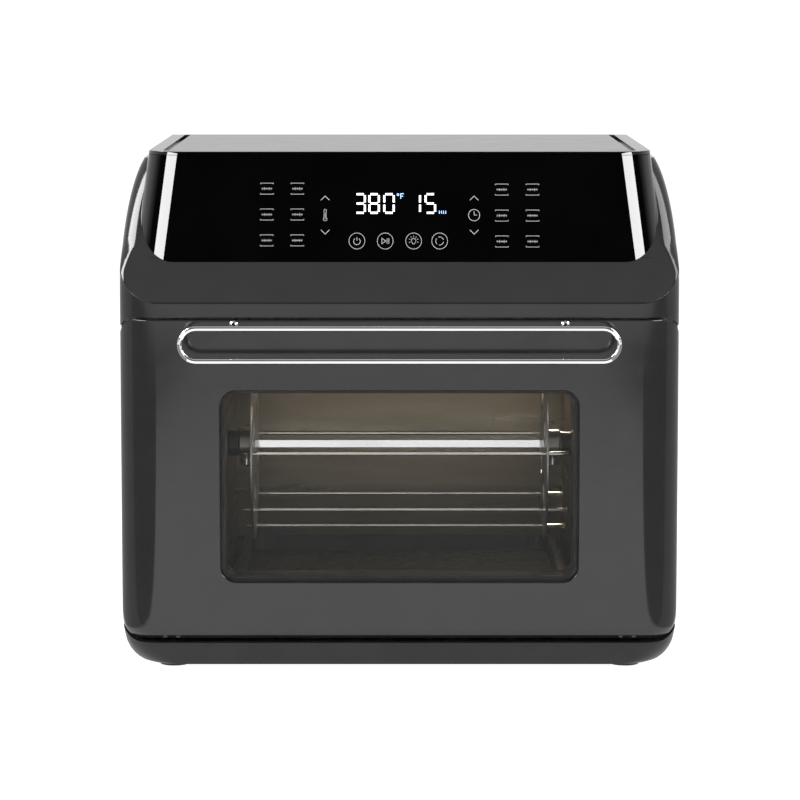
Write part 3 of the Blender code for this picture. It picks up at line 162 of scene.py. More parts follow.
class Nodes:
    """A material's node tree, with short calls for the nodes that the finishes share."""

    def __init__(self, name):
        self.material = bpy.data.materials.new(name)
        self.material.use_nodes = True
        self.tree = self.material.node_tree
        self.shader = self.tree.nodes["Principled BSDF"]
        self.place = self.tree.nodes.new("ShaderNodeTexCoord").outputs["Object"]

    def link(self, source, target):
        self.tree.links.new(source, target)

    def set(self, **values):
        for key, value in values.items():
            self.shader.inputs[key.replace("_", " ")].default_value = value

    def noise(self, scale, detail=4.0, stretch=(1.0, 1.0, 1.0)):
        mapping = self.tree.nodes.new("ShaderNodeMapping")
        mapping.inputs["Scale"].default_value = stretch
        self.link(self.place, mapping.inputs["Vector"])
        noise = self.tree.nodes.new("ShaderNodeTexNoise")
        noise.inputs["Scale"].default_value = scale
        noise.inputs["Detail"].default_value = detail
        self.link(mapping.outputs["Vector"], noise.inputs["Vector"])
        return noise.outputs["Fac"]

    def colour(self, source, dark, light, low=0.35, high=0.65):
        ramp = self.tree.nodes.new("ShaderNodeValToRGB")
        ramp.color_ramp.elements[0].position = low
        ramp.color_ramp.elements[1].position = high
        ramp.color_ramp.elements[0].color = (*dark, 1.0)
        ramp.color_ramp.elements[1].color = (*light, 1.0)
        self.link(source, ramp.inputs["Fac"])
        self.link(ramp.outputs["Color"], self.shader.inputs["Base Color"])

    def rough(self, source, low, high):
        spread = self.tree.nodes.new("ShaderNodeMapRange")
        spread.inputs["From Min"].default_value = 0.3
        spread.inputs["From Max"].default_value = 0.7
        spread.inputs["To Min"].default_value = low
        spread.inputs["To Max"].default_value = high
        self.link(source, spread.inputs["Value"])
        self.link(spread.outputs["Result"], self.shader.inputs["Roughness"])

    def bump(self, source, strength, distance):
        bump = self.tree.nodes.new("ShaderNodeBump")
        bump.inputs["Strength"].default_value = strength
        bump.inputs["Distance"].default_value = distance
        self.link(source, bump.inputs["Height"])
        self.link(bump.outputs["Normal"], self.shader.inputs["Normal"])


def finish_of(name, dark, light, rough, patch, grain, bump, metallic=0.0, stretch=(1, 1, 1), specular=0.5):
    """A finish with patchy colour, uneven gloss and a fine surface grain. Scales are in cycles per metre."""
    made = Nodes(name)
    made.set(Metallic=metallic, Specular_IOR_Level=specular)
    made.colour(made.noise(patch, 3.0, stretch), dark, light)
    made.rough(made.noise(patch * 2.3, 5.0, stretch), *rough)
    made.bump(made.noise(grain, 2.0, stretch), bump, 0.0004)
    return made.material


def make_finishes():
    made = {
        "gloss_charcoal": finish_of(
            "gloss_charcoal", (0.0140, 0.0134, 0.0137), (0.0160, 0.0153, 0.0156), (0.07, 0.11), 40, 900, 0.006
        ),
        "charcoal_plastic": finish_of(
            "charcoal_plastic", (0.0120, 0.0116, 0.0118), (0.0150, 0.0145, 0.0148), (0.34, 0.42),
            60, 2200, 0.05, specular=0.30
        ),
        "panel_black": finish_of(
            "panel_black", (0.0008, 0.0008, 0.0009), (0.0013, 0.0013, 0.0014), (0.015, 0.035), 25, 500, 0.002
        ),
        "top_plate": finish_of(
            "top_plate", (0.028, 0.028, 0.028), (0.032, 0.032, 0.032), (0.13, 0.15), 30, 1500, 0.003,
            specular=0.34
        ),
        "chrome": finish_of(
            "chrome", (0.80, 0.80, 0.81), (0.88, 0.88, 0.88), (0.03, 0.08), 90, 1500, 0.01, 1.0, (0.15, 1, 1)
        ),
        "steel": finish_of(
            "steel", (0.20, 0.165, 0.118), (0.26, 0.218, 0.160), (0.26, 0.40),
            22, 520, 0.08, 1.0, (0.2, 0.2, 3)
        ),
        "zinc_steel": finish_of(
            "zinc_steel", (0.40, 0.40, 0.40), (0.52, 0.52, 0.51), (0.30, 0.46), 120, 900, 0.06, 1.0
        ),
        "dark_steel": finish_of(
            "dark_steel", (0.045, 0.043, 0.041), (0.085, 0.080, 0.075), (0.35, 0.50), 150, 1200, 0.08, 0.9
        ),
        "nonstick": finish_of(
            "nonstick", (0.020, 0.020, 0.022), (0.034, 0.033, 0.034), (0.32, 0.46), 80, 2600, 0.10
        ),
        "aluminium": finish_of(
            "aluminium", (0.60, 0.60, 0.60), (0.72, 0.72, 0.72), (0.28, 0.42), 60, 800, 0.06, 1.0, (0.3, 1, 1)
        ),
        "black_plastic": finish_of(
            "black_plastic", (0.012, 0.012, 0.012), (0.018, 0.018, 0.018), (0.30, 0.42), 90, 2600, 0.06
        ),
        "rubber": finish_of(
            "rubber", (0.012, 0.012, 0.012), (0.022, 0.022, 0.021), (0.70, 0.85), 160, 3000, 0.12
        ),
        "silicone": finish_of(
            "silicone", (0.045, 0.043, 0.042), (0.065, 0.062, 0.060), (0.60, 0.75), 90, 1800, 0.10
        ),
        "board_green": finish_of(
            "board_green", (0.012, 0.080, 0.032), (0.026, 0.130, 0.055), (0.35, 0.55), 420, 1600, 0.10
        ),
        "display_black": finish_of(
            "display_black", (0.004, 0.004, 0.005), (0.007, 0.007, 0.008), (0.15, 0.25), 80, 900, 0.02
        ),
        "motor_grey": finish_of(
            "motor_grey", (0.26, 0.26, 0.27), (0.36, 0.36, 0.37), (0.38, 0.52), 110, 900, 0.10, 0.8
        ),
    }
    made["glass"] = glass_finish()
    return made


def glass_finish():
    made = Nodes("glass")
    made.colour(made.noise(12.0, 3.0), (0.060, 0.066, 0.064), (0.075, 0.080, 0.078))
    made.rough(made.noise(40.0, 4.0), 0.015, 0.04)
    made.bump(made.noise(18.0, 2.0), 0.01, 0.0003)
    made.set(Alpha=0.06, Specular_IOR_Level=0.20)
    return made.material


def glow_finish(name, colour, strength):
    """Lit display segments, and the grey printed marks with a faint painted glow: slightly uneven along each
    bar, as diffused light is.
    """
    made = Nodes(name)
    made.colour(made.noise(900.0, 2.0), tuple(0.92 * c for c in colour), colour)
    made.rough(made.noise(600.0, 2.0), 0.3, 0.4)
    made.shader.inputs["Emission Color"].default_value = (*colour, 1.0)
    made.shader.inputs["Emission Strength"].default_value = strength
    return made.material


FINISH = make_finishes()


def dress_frame():
    """Gives every CAD node that stays in view the detailed finish of its own slot."""
    slot_of = {}
    for row in frame["record"].get("subparts", []):
        slot_of[row.get("node")] = row.get("material_slot") or row.get("slot")
    for name, node in frame["nodes"].items():
        held = node.data.materials[0].name.split(".")[0] if node.data.materials else ""
        finish = FINISH.get(slot_of.get(name) or held)
        if finish is None:
            continue
        for index in range(max(1, len(node.data.materials))):
            if len(node.data.materials) <= index:
                node.data.materials.append(finish)
            node.data.materials[index] = finish


# Mesh tools


def plan_ring(z, half, front, back, front_radius, back_radius, steps=FINE):
    """A closed plan outline with rounded corners, counter-clockwise from above."""
    corners = ((half, back, back_radius, 0), (-half, back, back_radius, 90),
               (-half, front, front_radius, 180), (half, front, front_radius, 270))
    points = []
    for x, y, radius, start in corners:
        centre_x = x - math.copysign(radius, x)
        centre_y = y - radius if y == back else y + radius
        for step in range(steps + 1):
            angle = math.radians(start + 90.0 * step / steps)
            out_x, out_y = radius * math.cos(angle), radius * math.sin(angle)
            points.append(Vector((centre_x + out_x, centre_y + out_y, z)))
    return points


def loft(rings, capped=True, closed=False):
    """A solid through rings of equal point counts. A closed loft joins its last ring to its first."""
    solid = bmesh.new()
    rows = [[solid.verts.new(point) for point in ring] for ring in rings]
    pairs = list(zip(rows, rows[1:])) + ([(rows[-1], rows[0])] if closed else [])
    for lower, upper in pairs:
        for i in range(len(lower)):
            j = (i + 1) % len(lower)
            solid.faces.new((lower[i], lower[j], upper[j], upper[i]))
    if capped and not closed:
        solid.faces.new(list(reversed(rows[0])))
        solid.faces.new(rows[-1])
    bmesh.ops.recalc_face_normals(solid, faces=solid.faces)
    return solid


def block(x0, x1, y0, y1, z0, z1):
    corners = [(x0, y0), (x1, y0), (x1, y1), (x0, y1)]
    return loft([[Vector((x, y, z)) for x, y in corners] for z in (z0, z1)])


def lathe(start, direction, profile, steps=48):
    """A turned solid: profile is (distance along, radius) pairs, from one end to the other."""
    start = Vector(start)
    turn = Vector(direction).to_track_quat("Z", "Y").to_matrix()
    rings = []
    for along, radius in profile:
        ring = []
        for step in range(steps):
            angle = 2 * math.pi * step / steps
            ring.append(start + turn @ Vector((radius * math.cos(angle), radius * math.sin(angle), along)))
        rings.append(ring)
    return loft(rings)


def rod(start, end, radius, edge=0.0, steps=40):
    """A round bar between two points, with a small chamfered round at both ends."""
    start, end = Vector(start), Vector(end)
    length = (end - start).length
    if edge <= 0:
        profile = [(0, radius), (length, radius)]
    else:
        turn = [math.radians(a) for a in (0, 30, 60, 90)]
        first = [(edge * (1 - math.sin(a)), radius - edge * (1 - math.cos(a))) for a in reversed(turn)]
        last = [(length - along, size) for along, size in reversed(first)]
        profile = first + last
    return lathe(start, end - start, profile, steps)


def outline(half, low, high, radius, steps=FINE):
    """A rounded rectangle in the X-Z plane, as (x, z) pairs."""
    middle = (low + high) / 2
    ring = plan_ring(0.0, half, low - middle, high - middle, radius, radius, steps)
    return [(point.x, point.y + middle) for point in ring]


def prism(pairs, y0, y1):
    return loft([[Vector((x, y, z)) for x, z in pairs] for y in (y0, y1)])


def merge(solids):
    joined = bmesh.new()
    for solid in solids:
        held = bpy.data.meshes.new("held")
        solid.to_mesh(held)
        solid.free()
        joined.from_mesh(held)
        bpy.data.meshes.remove(held)
    return joined


def new_object(name, solid, finish=None):
    mesh = bpy.data.meshes.new(name)
    solid.to_mesh(mesh)
    solid.free()
    made = bpy.data.objects.new(name, mesh)
    bpy.context.scene.collection.objects.link(made)
    if finish:
        mesh.materials.append(FINISH[finish])
    return made


def apply_modifiers(piece):
    graph = bpy.context.evaluated_depsgraph_get()
    shaped = bpy.data.meshes.new_from_object(piece.evaluated_get(graph))
    piece.modifiers.clear()
    old = piece.data
    name = old.name
    piece.data = shaped
    bpy.data.meshes.remove(old)
    shaped.name = name


def combine(piece, solid, operation):
    tool = new_object("tool", solid)
    modifier = piece.modifiers.new("shape", "BOOLEAN")
    modifier.operation = operation
    modifier.use_self = True
    modifier.object = tool
    apply_modifiers(piece)
    bpy.data.objects.remove(tool, do_unlink=True)


def carve(piece, *solids):
    for solid in solids:
        combine(piece, solid, "DIFFERENCE")
    return piece


def fuse(piece, *solids):
    for solid in solids:
        combine(piece, solid, "UNION")
    return piece


def soften(piece, test, offset, segments=3, sharpest=0.6):
    """Rounds the sharp edges whose middle passes the test."""
    solid = bmesh.new()
    solid.from_mesh(piece.data)
    bmesh.ops.remove_doubles(solid, verts=solid.verts, dist=1e-6)
    edges = []
    for edge in solid.edges:
        if len(edge.link_faces) == 2 and edge.calc_face_angle(0.0) > sharpest:
            if test((edge.verts[0].co + edge.verts[1].co) / 2):
                edges.append(edge)
    bmesh.ops.bevel(solid, geom=edges, offset=offset, segments=segments, profile=0.5, affect="EDGES",
                    clamp_overlap=True)
    solid.to_mesh(piece.data)
    solid.free()
    return piece


def settle(piece, body, slot, *replaced, sharp=32.0):
    """Smooth shading with sharp creases kept, then the piece's body and the nodes it stands for. The slot
    argument is not used.
    """
    piece.data.shade_smooth()
    piece.data.set_sharp_from_angle(angle=math.radians(sharp))
    weigh = piece.modifiers.new("weigh", "WEIGHTED_NORMAL")
    weigh.keep_sharp = True
    weigh.weight = 60
    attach(piece, body)
    if replaced:
        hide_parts(*replaced)
    return piece


# Outer shape


def body_half_width(z):
    low = FOOT_HEIGHT + LOWER_TAPER_HEIGHT
    high = HEIGHT - SHOULDER_HEIGHT
    if z < low:
        share = min(1.0, (low - z) / LOWER_TAPER_HEIGHT)
        return HALF_WIDTH - LOWER_TAPER * (1 - math.sqrt(1 - share * share))
    if z > high:
        share = min(1.0, (z - high) / SHOULDER_HEIGHT)
        return HALF_WIDTH - SHOULDER_DROP * (1 - math.sqrt(1 - share * share))
    return HALF_WIDTH


def body_front(z):
    """The front goes straight up and then leans back from the crease, which is slightly rounded."""
    above = z - CREASE
    if above <= -CREASE_ROUND:
        return FACE
    if above < CREASE_ROUND:
        return FACE + COLLAR_SLOPE * (above + CREASE_ROUND) ** 2 / (4 * CREASE_ROUND)
    return FACE + COLLAR_SLOPE * above


def head_half_width(z):
    return HEAD_TOP_HALF + HEAD_SIDE_SLOPE * (HEIGHT - z)


def head_front(z):
    return FACE + COLLAR_SLOPE * COLLAR_HEIGHT + PANEL_LEAN * (z - PANEL_FOOT)


def collar_corner(z, grow, steps):
    large = BODY_RADIUS + grow
    rounding = EDGE_ROUND + EDGE_GROWTH * max(0.0, z - CREASE) ** 2
    small = max(0.0003, min(EDGE_MOST, rounding) + grow)
    centre_x = body_half_width(z) + grow - large
    centre_y = FACE + BODY_RADIUS
    front = body_front(z) - grow
    drop = centre_y - front - small
    reach = large - small
    shift = math.sqrt(max(0.0, reach * reach - max(0.0, drop) ** 2))
    meeting = 90.0 - math.degrees(math.asin(min(1.0, max(0.0, drop) / reach)))
    points = []
    for step in range(steps + 1):
        degrees = 90.0 * step / steps
        angle = math.radians(degrees)
        if degrees <= meeting:
            out_x, out_y = small * math.sin(angle), small * math.cos(angle)
            points.append((centre_x + shift + out_x, front + small - out_y))
        else:
            points.append((centre_x + large * math.sin(angle), centre_y - large * math.cos(angle)))
    return points


def collar_ring(z, grow, back, steps):
    front = collar_corner(z, grow, steps)
    half = body_half_width(z) + grow
    right = [Vector((x, y, z)) for x, y in front]
    left = [Vector((-x, y, z)) for x, y in reversed(front)]
    rear = plan_ring(z, half, FACE, back, 0.001, 0.002, 3)[:8]
    return left + right + rear


def body_heights(bottom, top, steps):
    low = FOOT_HEIGHT + LOWER_TAPER_HEIGHT
    high = HEIGHT - SHOULDER_HEIGHT
    curve = [high + SHOULDER_HEIGHT * math.sin(math.radians(65.0 * i / steps)) for i in range(steps + 1)]
    foot = [low - LOWER_TAPER_HEIGHT * i / steps for i in range(steps)]
    turn = [math.radians(90.0 * i / steps) for i in range(1, steps + 1)]
    cut = [CREASE + BODY_RADIUS * (1 - math.cos(angle)) / COLLAR_SLOPE for angle in turn]
    bend = [CREASE + CREASE_ROUND * share for share in (-1.0, -0.5, 0.0, 0.5, 1.0)]
    inside = sorted(z for z in (*foot, *bend, *curve, *cut) if bottom + 0.0002 < z < top - 0.0002)
    middle = [z for i, z in enumerate(inside) if i == 0 or z - inside[i - 1] > 0.0002]
    return [bottom, *middle, top]


def body_solid(bottom, top, grow=0.0, front=None, back=None, steps=FINE):
    rear = SHELL_BACK if back is None else back
    rings = []
    for z in body_heights(bottom, top, steps):
        ring = collar_ring(z, grow, rear, steps)
        if front is not None:
            for point in ring:
                point.y = max(point.y, front)
        rings.append(ring)
    return loft(rings)


def head_solid(bottom, top, inset=0.0, shift=0.0, back=None, radius=PANEL_RADIUS, steps=FINE):
    rings = []
    for z in (bottom, top):
        rear = SHELL_BACK if back is None else head_front(z) + back
        rings.append(plan_ring(z, head_half_width(z) - inset, head_front(z) + inset + shift, rear,
                               radius - inset, 0.001, steps))
    return loft(rings)


def build_housing():
    beyond = BACK + 0.020
    wrap = PANEL_RADIUS + PANEL_WRAP
    low = PANEL_FOOT - 0.018
    shell = new_object("oven_shell", body_solid(SHELL_BOTTOM, BODY_STOP), "gloss_charcoal")
    fuse(shell, head_solid(low, HEIGHT - 0.0001, inset=PANEL_INSET))
    fuse(shell, head_solid(low, HEIGHT - 0.0001, shift=wrap + GAP, radius=0.001, steps=3))
    fuse(shell, head_solid(HEIGHT - PANEL_TOP_LIP, HEIGHT))
    doorway = outline(HALF_WIDTH + DOOR_GAP, -HEIGHT, HEAD_BOTTOM, DOOR_UPPER_ROUND + DOOR_GAP)
    carve(shell, prism(doorway, FACE - WALL, DOOR_REAR + GAP))
    carve(shell, body_solid(FOOT_HEIGHT, BODY_STOP - WALL, -WALL, DOOR_REAR, beyond, COARSE))
    carve(shell, body_solid(HEAD_BOTTOM + WALL, PANEL_FOOT + 0.006, -WALL, None, DOOR_REAR + 0.034, COARSE))
    ceiling = PLATE_LOW.z - GAP - WALL
    inset = PANEL_INSET + WALL
    hollow = []
    for z in (low, ceiling):
        hollow.append(plan_ring(z, head_half_width(z) - inset, head_front(z) + inset, beyond,
                                PANEL_RADIUS - inset, 0.002, COARSE))
    carve(shell, loft(hollow))
    pocket = [plan_ring(z, PLATE_HIGH.x + PLATE_GROOVE, PLATE_LOW.y - GAP, PLATE_HIGH.y + 0.002,
                        PLATE_RADIUS + PLATE_GROOVE, 0.003) for z in (PLATE_LOW.z - GAP, HEIGHT + WALL)]
    carve(shell, loft(pocket))
    soften(shell, lambda m: abs(m.z - HEAD_BOTTOM) < 1e-5 and m.y < DOOR_REAR - 0.001, 0.0005)
    soften(shell, lambda m: abs(m.z - HEIGHT) < 1e-5, 0.0004, 2)
    shell.data.materials.append(FINISH["panel_black"])
    for face in shell.data.polygons:
        on_lip = face.center.z > HEIGHT - PANEL_TOP_LIP - 0.0001 and face.center.y < PLATE_LOW.y
        if on_lip and face.normal.y < -0.3:
            face.material_index = 1
    return settle(shell, "base", "gloss_charcoal", "main_housing")


def build_control_face():
    low = PANEL_FOOT - 0.016
    high = HEIGHT - PANEL_TOP_LIP - GAP
    solid = head_solid(low, high, back=PANEL_RADIUS + PANEL_WRAP, steps=32)
    panel = new_object("control_face", solid, "panel_black")
    carve(panel, head_solid(low - 0.01, HEIGHT, inset=PANEL_THICKNESS, steps=COARSE))
    carve(panel, body_solid(CREASE - 0.01, BODY_STOP + GAP, GAP, None, BACK))
    return settle(panel, "base", "panel_black", "control_panel")


def build_top_plate():
    edge = 0.0006
    rings = []
    for z, inset in ((PLATE_LOW.z, 0.0), (HEIGHT - edge, 0.0), (HEIGHT - edge * 0.5, edge * 0.13),
                     (HEIGHT - edge * 0.13, edge * 0.5), (HEIGHT, edge)):
        rings.append(plan_ring(z, PLATE_HIGH.x - inset, PLATE_LOW.y + inset, PLATE_HIGH.y - inset,
                               PLATE_RADIUS - inset, 0.003))
    return settle(new_object("top_plate", loft(rings), "top_plate"), "base", "top_plate", "top_panel")


def build_plinth():
    edge = 0.0007
    heights = [FOOT_HEIGHT + (PLINTH_HIGH.z - FOOT_HEIGHT) * i / 14 for i in range(15)]
    heights[-1:] = [PLINTH_HIGH.z - edge, PLINTH_HIGH.z - edge * 0.4, PLINTH_HIGH.z]
    rings = []
    for z in heights:
        share = (z - FOOT_HEIGHT) / (PLINTH_HIGH.z - FOOT_HEIGHT)
        tuck = 0.003 * (1 - share) ** 2
        over = max(0.0, z - PLINTH_HIGH.z + edge) / edge
        tuck += edge * (1 - math.sqrt(1 - over * over))
        rings.append(plan_ring(z, body_half_width(z) - tuck, FACE + tuck, BACK, BODY_RADIUS, 0.002))
    plinth = new_object("plinth", loft(rings), "charcoal_plastic")
    pan = body_half_width(FOOT_HEIGHT) - 2 * WALL
    rise = body_solid(PLINTH_HIGH.z - 0.002, DOOR_BOTTOM + DOOR_LOWER_ROUND + 0.004, back=DOOR_REAR - GAP)
    corners = new_object("tool_corners", rise)
    opening = outline(HALF_WIDTH + DOOR_GAP, PLINTH_HIGH.z, HEIGHT, DOOR_LOWER_ROUND + DOOR_GAP)
    carve(corners, prism(opening, FACE - 0.01, BACK))
    solid = bmesh.new()
    solid.from_mesh(corners.data)
    bpy.data.objects.remove(corners, do_unlink=True)
    fuse(plinth, solid)
    carve(plinth, block(-pan, pan, DOOR_REAR + 0.0031, BACK - 2 * WALL, FOOT_HEIGHT + 0.003, HEIGHT))
    return settle(plinth, "base", "charcoal_plastic", "base_plinth")


def build_feet():
    for name in ("foot_front_left", "foot_front_right", "foot_rear_left", "foot_rear_right"):
        low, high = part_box(name)
        middle = (low + high) / 2
        radius = (high.x - low.x) / 2
        tall = high.z - low.z
        profile = [(0, radius * 0.55), (0.0004, radius * 0.56), (0.0004, radius * 0.80), (0, radius * 0.84),
                   (0.0006, radius * 0.90), (tall * 0.5, radius * 0.96), (tall, radius)]
        foot = new_object(f"pad_{name}", lathe((middle.x, middle.y, low.z), (0, 0, 1), profile), "rubber")
        settle(foot, "base", "rubber", name)


def build_rear_cover():
    inset = 0.0012
    heights = body_heights(SHELL_BOTTOM, BODY_STOP - inset, FINE)
    right = [(body_half_width(z) - inset, z) for z in heights]
    right += [(head_half_width(z) - inset, z) for z in (BODY_STOP - inset, HEIGHT - inset)]
    pairs = right + [(-x, z) for x, z in reversed(right)]
    cover = new_object("back_cover", prism(pairs, COVER_LOW.y, BACK), "charcoal_plastic")
    slots = []
    for side in (-1, 1):
        for row in range(7):
            x, z = side * 0.045, HEIGHT - 0.045 - row * 0.011
            slots.append(prism([(a + x, b) for a, b in outline(0.030, z - 0.002, z + 0.002, 0.0018, 5)],
                               BACK - 0.01, BACK + 0.01))
    low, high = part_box("cord_inlet")
    hole = rod(((low.x + high.x) / 2, BACK - 0.01, (low.z + high.z) / 2),
               ((low.x + high.x) / 2, BACK + 0.01, (low.z + high.z) / 2), 0.006)
    carve(cover, merge(slots), hole)
    recesses = []
    for x, z in rear_screw_places():
        recesses.append(lathe((x, BACK - SCREW_SINK, z), (0, 1, 0), [(0, 0.0042), (0.01, 0.0042)], 32))
    carve(cover, merge(recesses))
    settle(cover, "base", "charcoal_plastic", "rear_cover")
    heads = []
    for x, z in rear_screw_places():
        profile = [(0, 0.0034), (0.0006, 0.0034), (0.0011, 0.0029), (0.0013, 0.0020), (0.0013, 0.0012),
                   (0.0005, 0.0010), (0.0005, 0.0003)]
        heads.append(lathe((x, BACK - SCREW_SINK, z), (0, 1, 0), profile, 24))
    settle(new_object("rear_screws", merge(heads), "zinc_steel"), "base", "zinc_steel")


def rear_screw_places():
    wide = HALF_WIDTH - SCREW_INSET
    sides = [(side * wide, z) for side in (-1, 1) for z in (0.045, 0.150, 0.255)]
    return sides + [(0.0, HEIGHT - SCREW_INSET), (0.0, SHELL_BOTTOM + SCREW_INSET)]


# Door


def door_front(z):
    if z < HINGE_Z:
        drop = min(HINGE_ROUND, HINGE_Z - z)
        return HINGE_Y - math.sqrt(HINGE_ROUND**2 - drop**2)
    over = min(1.0, max(0.0, z - DOOR_TOP + DOOR_EDGE) / DOOR_EDGE)
    return FACE + DOOR_EDGE * (1 - math.sqrt(1 - over * over))


def door_half_width(z):
    below = min(1.0, max(0.0, (DOOR_BOTTOM + DOOR_LOWER_ROUND - z) / DOOR_LOWER_ROUND))
    return HALF_WIDTH - DOOR_LOWER_ROUND * (1 - math.sqrt(1 - below * below))


def door_back(z):
    if z < HINGE_Z:
        return HINGE_Y + math.sqrt(WRAP_RADIUS**2 - (HINGE_Z - z) ** 2)
    top = DOOR_TOP - DOOR_REAR_TOP_ROUND
    if z > top:
        rise = min(DOOR_REAR_TOP_ROUND, z - top)
        return DOOR_REAR - DOOR_REAR_TOP_ROUND + math.sqrt(DOOR_REAR_TOP_ROUND**2 - rise**2)
    return DOOR_REAR


def build_door():
    foot = [HINGE_Z - HINGE_ROUND * math.cos(math.radians(a)) for a in range(0, 91, 6)]
    side = [HINGE_Z + 0.002 * i for i in range(1, 8)]
    top = DOOR_TOP - DOOR_UPPER_ROUND
    crown = [top + DOOR_UPPER_ROUND * math.sin(math.radians(a)) for a in range(0, 91, 5)]
    rings = []
    for z in foot + side + crown:
        radius = min(BODY_RADIUS, door_back(z) - door_front(z) - 0.001)
        rings.append(plan_ring(z, body_half_width(z), door_front(z), door_back(z), radius, 0.0005))
    door = new_object("door_shell", loft(rings), "gloss_charcoal")
    upper = (-HEIGHT, DOOR_TOP, DOOR_UPPER_ROUND)
    lower = (DOOR_BOTTOM, 2 * HEIGHT, DOOR_LOWER_ROUND)
    for low, high, radius in (upper, lower):
        combine(door, prism(outline(HALF_WIDTH, low, high, radius), FACE - CUT_PAST, BACK), "INTERSECT")
    inner_low, inner_high = DOOR_BOTTOM + WALL, DOOR_TOP - WALL
    beyond = FACE + 0.068
    hollow = []
    for z in (inner_low, HINGE_Z, DOOR_BOTTOM + DOOR_LOWER_ROUND, top, (top + inner_high) / 2, inner_high):
        above = max(0.0, (z - top) / DOOR_UPPER_ROUND)
        half = door_half_width(z) - DOOR_UPPER_ROUND * (1 - math.sqrt(1 - above * above)) - WALL
        hollow.append(plan_ring(z, half, door_front(z) + WALL, beyond, BODY_RADIUS - WALL, 0.002, COARSE))
    carve(door, loft(hollow))
    under, over = DOOR_BOTTOM - CUT_PAST, DOOR_BOTTOM + WALL + 0.0005
    carve(door, block(-0.160, 0.160, HINGE_Y + 0.0235, beyond, under, over))
    window = outline(WINDOW_HALF, WINDOW_LOW, WINDOW_HIGH, WINDOW_RADIUS)
    carve(door, prism(window, FACE - 0.01, FACE + 0.01))
    for place in (-1, 1):
        x = place * TAB_PLACE
        carve(door, block(x - TAB_HALF, x + TAB_HALF, HINGE_Y - 0.0035, beyond, under, over))
        for direction in (-1, 1):
            near, far = sorted((x + direction * TAB_HALF, x + direction * (TAB_HALF + TAB_WALL)))
            fuse(door, block(near, far, FACE + WALL * 0.6, HINGE_Y + TAB_REACH,
                             DOOR_BOTTOM + WALL * 0.6, HINGE_Z + TAB_REACH))
    soften(door, lambda m: abs(m.y - FACE) < 1e-5 and abs(m.x) < WINDOW_HALF + 0.001
           and WINDOW_LOW - 0.001 < m.z < WINDOW_HIGH + 0.001, 0.0006)
    return settle(door, "door", "gloss_charcoal", "door_outer_frame")


def build_window_frame():
    """The tunnel behind the outer pane, with a step all round and a softened inner lip."""
    half, low, high = WINDOW_HALF, WINDOW_LOW, WINDOW_HIGH
    step = BEZEL_STEP
    lap = outline(half + GLASS_LAP, low - GLASS_LAP, high + GLASS_LAP, WINDOW_RADIUS)
    near, far = BEZEL_LOW.y, BEZEL_HIGH.y
    frame_piece = new_object("window_frame", prism(lap, near, far), "charcoal_plastic")
    cut = []
    for y, inset in ((near - 0.002, 0.0005), (near + 0.0028, 0.0005), (near + 0.0034, 0.0011),
                     (near + 0.0036, step), (far + 0.002, step)):
        pairs = outline(half - inset, low + inset, high - inset, WINDOW_RADIUS - inset)
        cut.append([Vector((x, y, z)) for x, z in pairs])
    carve(frame_piece, loft(cut))
    return settle(frame_piece, "door", "black_plastic", "window_bezel")


def build_handle():
    radius = (RING_HIGH.y - RING_LOW.y) / 2
    middle = (RING_LOW + RING_HIGH) / 2
    end = (RING_HIGH.z - RING_LOW.z) / 2 - radius
    straight = RING_HIGH.x - radius - end
    rearward = Vector((0.0, 1.0, 0.0))
    path = []
    for side, start in ((1, -90.0), (-1, 90.0)):
        for step in range(33):
            angle = math.radians(start + 180.0 * step / 32)
            outward = Vector((math.cos(angle), 0.0, math.sin(angle)))
            path.append((Vector((side * straight, middle.y, middle.z)) + end * outward, outward))
    rings = []
    for point, outward in path:
        ring = []
        for step in range(24):
            angle = 2 * math.pi * step / 24
            ring.append(point + radius * (math.cos(angle) * outward + math.sin(angle) * rearward))
        rings.append(ring)
    settle(new_object("handle_ring", loft(rings, closed=True), "chrome"), "door", "chrome", "door_handle")
    for name in ("handle_post_left", "handle_post_right"):
        low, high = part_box(name)
        x, z = (low.x + high.x) / 2, (low.z + high.z) / 2
        size = (high.x - low.x) / 2
        length = high.y - low.y
        profile = [(0, size * 0.86), (0.0004, size), (length - 0.0026, size), (length - 0.0022, size * 1.2),
                   (length - 0.0020, size * 1.5), (length - 0.0004, size * 1.6), (length, size * 1.55)]
        post = new_object(f"{name}_bar", lathe((x, low.y, z), (0, 1, 0), profile, 32), "chrome")
        settle(post, "door", "chrome", name)


# Rotisserie


def build_wheels():
    for label, side in (("left", -1), ("right", 1)):
        name = f"spit_wheel_{label}"
        low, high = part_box(name)
        inner = low.x if side > 0 else high.x
        reach = (high.z - low.z) / 2
        thick = 0.0015
        disc = [(0.0, reach - 0.0004), (0.0003, reach), (thick - 0.0003, reach), (thick, reach - 0.0004)]
        centre = (inner, SPIT.y, SPIT.z)
        wheel = new_object(f"{name}_disc", lathe(centre, (side, 0, 0), disc, 96), "zinc_steel")
        length = high.x - low.x
        hub = [(0.0, 0.0095), (length - 0.0008, 0.0095), (length - 0.0002, 0.0091), (length, 0.0086)]
        fuse(wheel, lathe(centre, (side, 0, 0), hub, 48))
        near, far = low.x - 0.01, high.x + 0.01
        square = 0.0033
        holes = [block(near, far, SPIT.y - square, SPIT.y + square, SPIT.z - square, SPIT.z + square)]
        for index in range(8):
            angle = 2 * math.pi * index / 8
            y, z = SPIT.y + 0.058 * math.sin(angle), SPIT.z + 0.058 * math.cos(angle)
            holes.append(rod((near, y, z), (far, y, z), 0.0017, steps=20))
            if index % 2 == 0:
                angle += math.pi / 8
                y, z = SPIT.y + 0.034 * math.sin(angle), SPIT.z + 0.034 * math.cos(angle)
                holes.append(rod((near, y, z), (far, y, z), 0.013, steps=40))
        carve(wheel, merge(holes))
        settle(wheel, "spit", "zinc_steel", name)


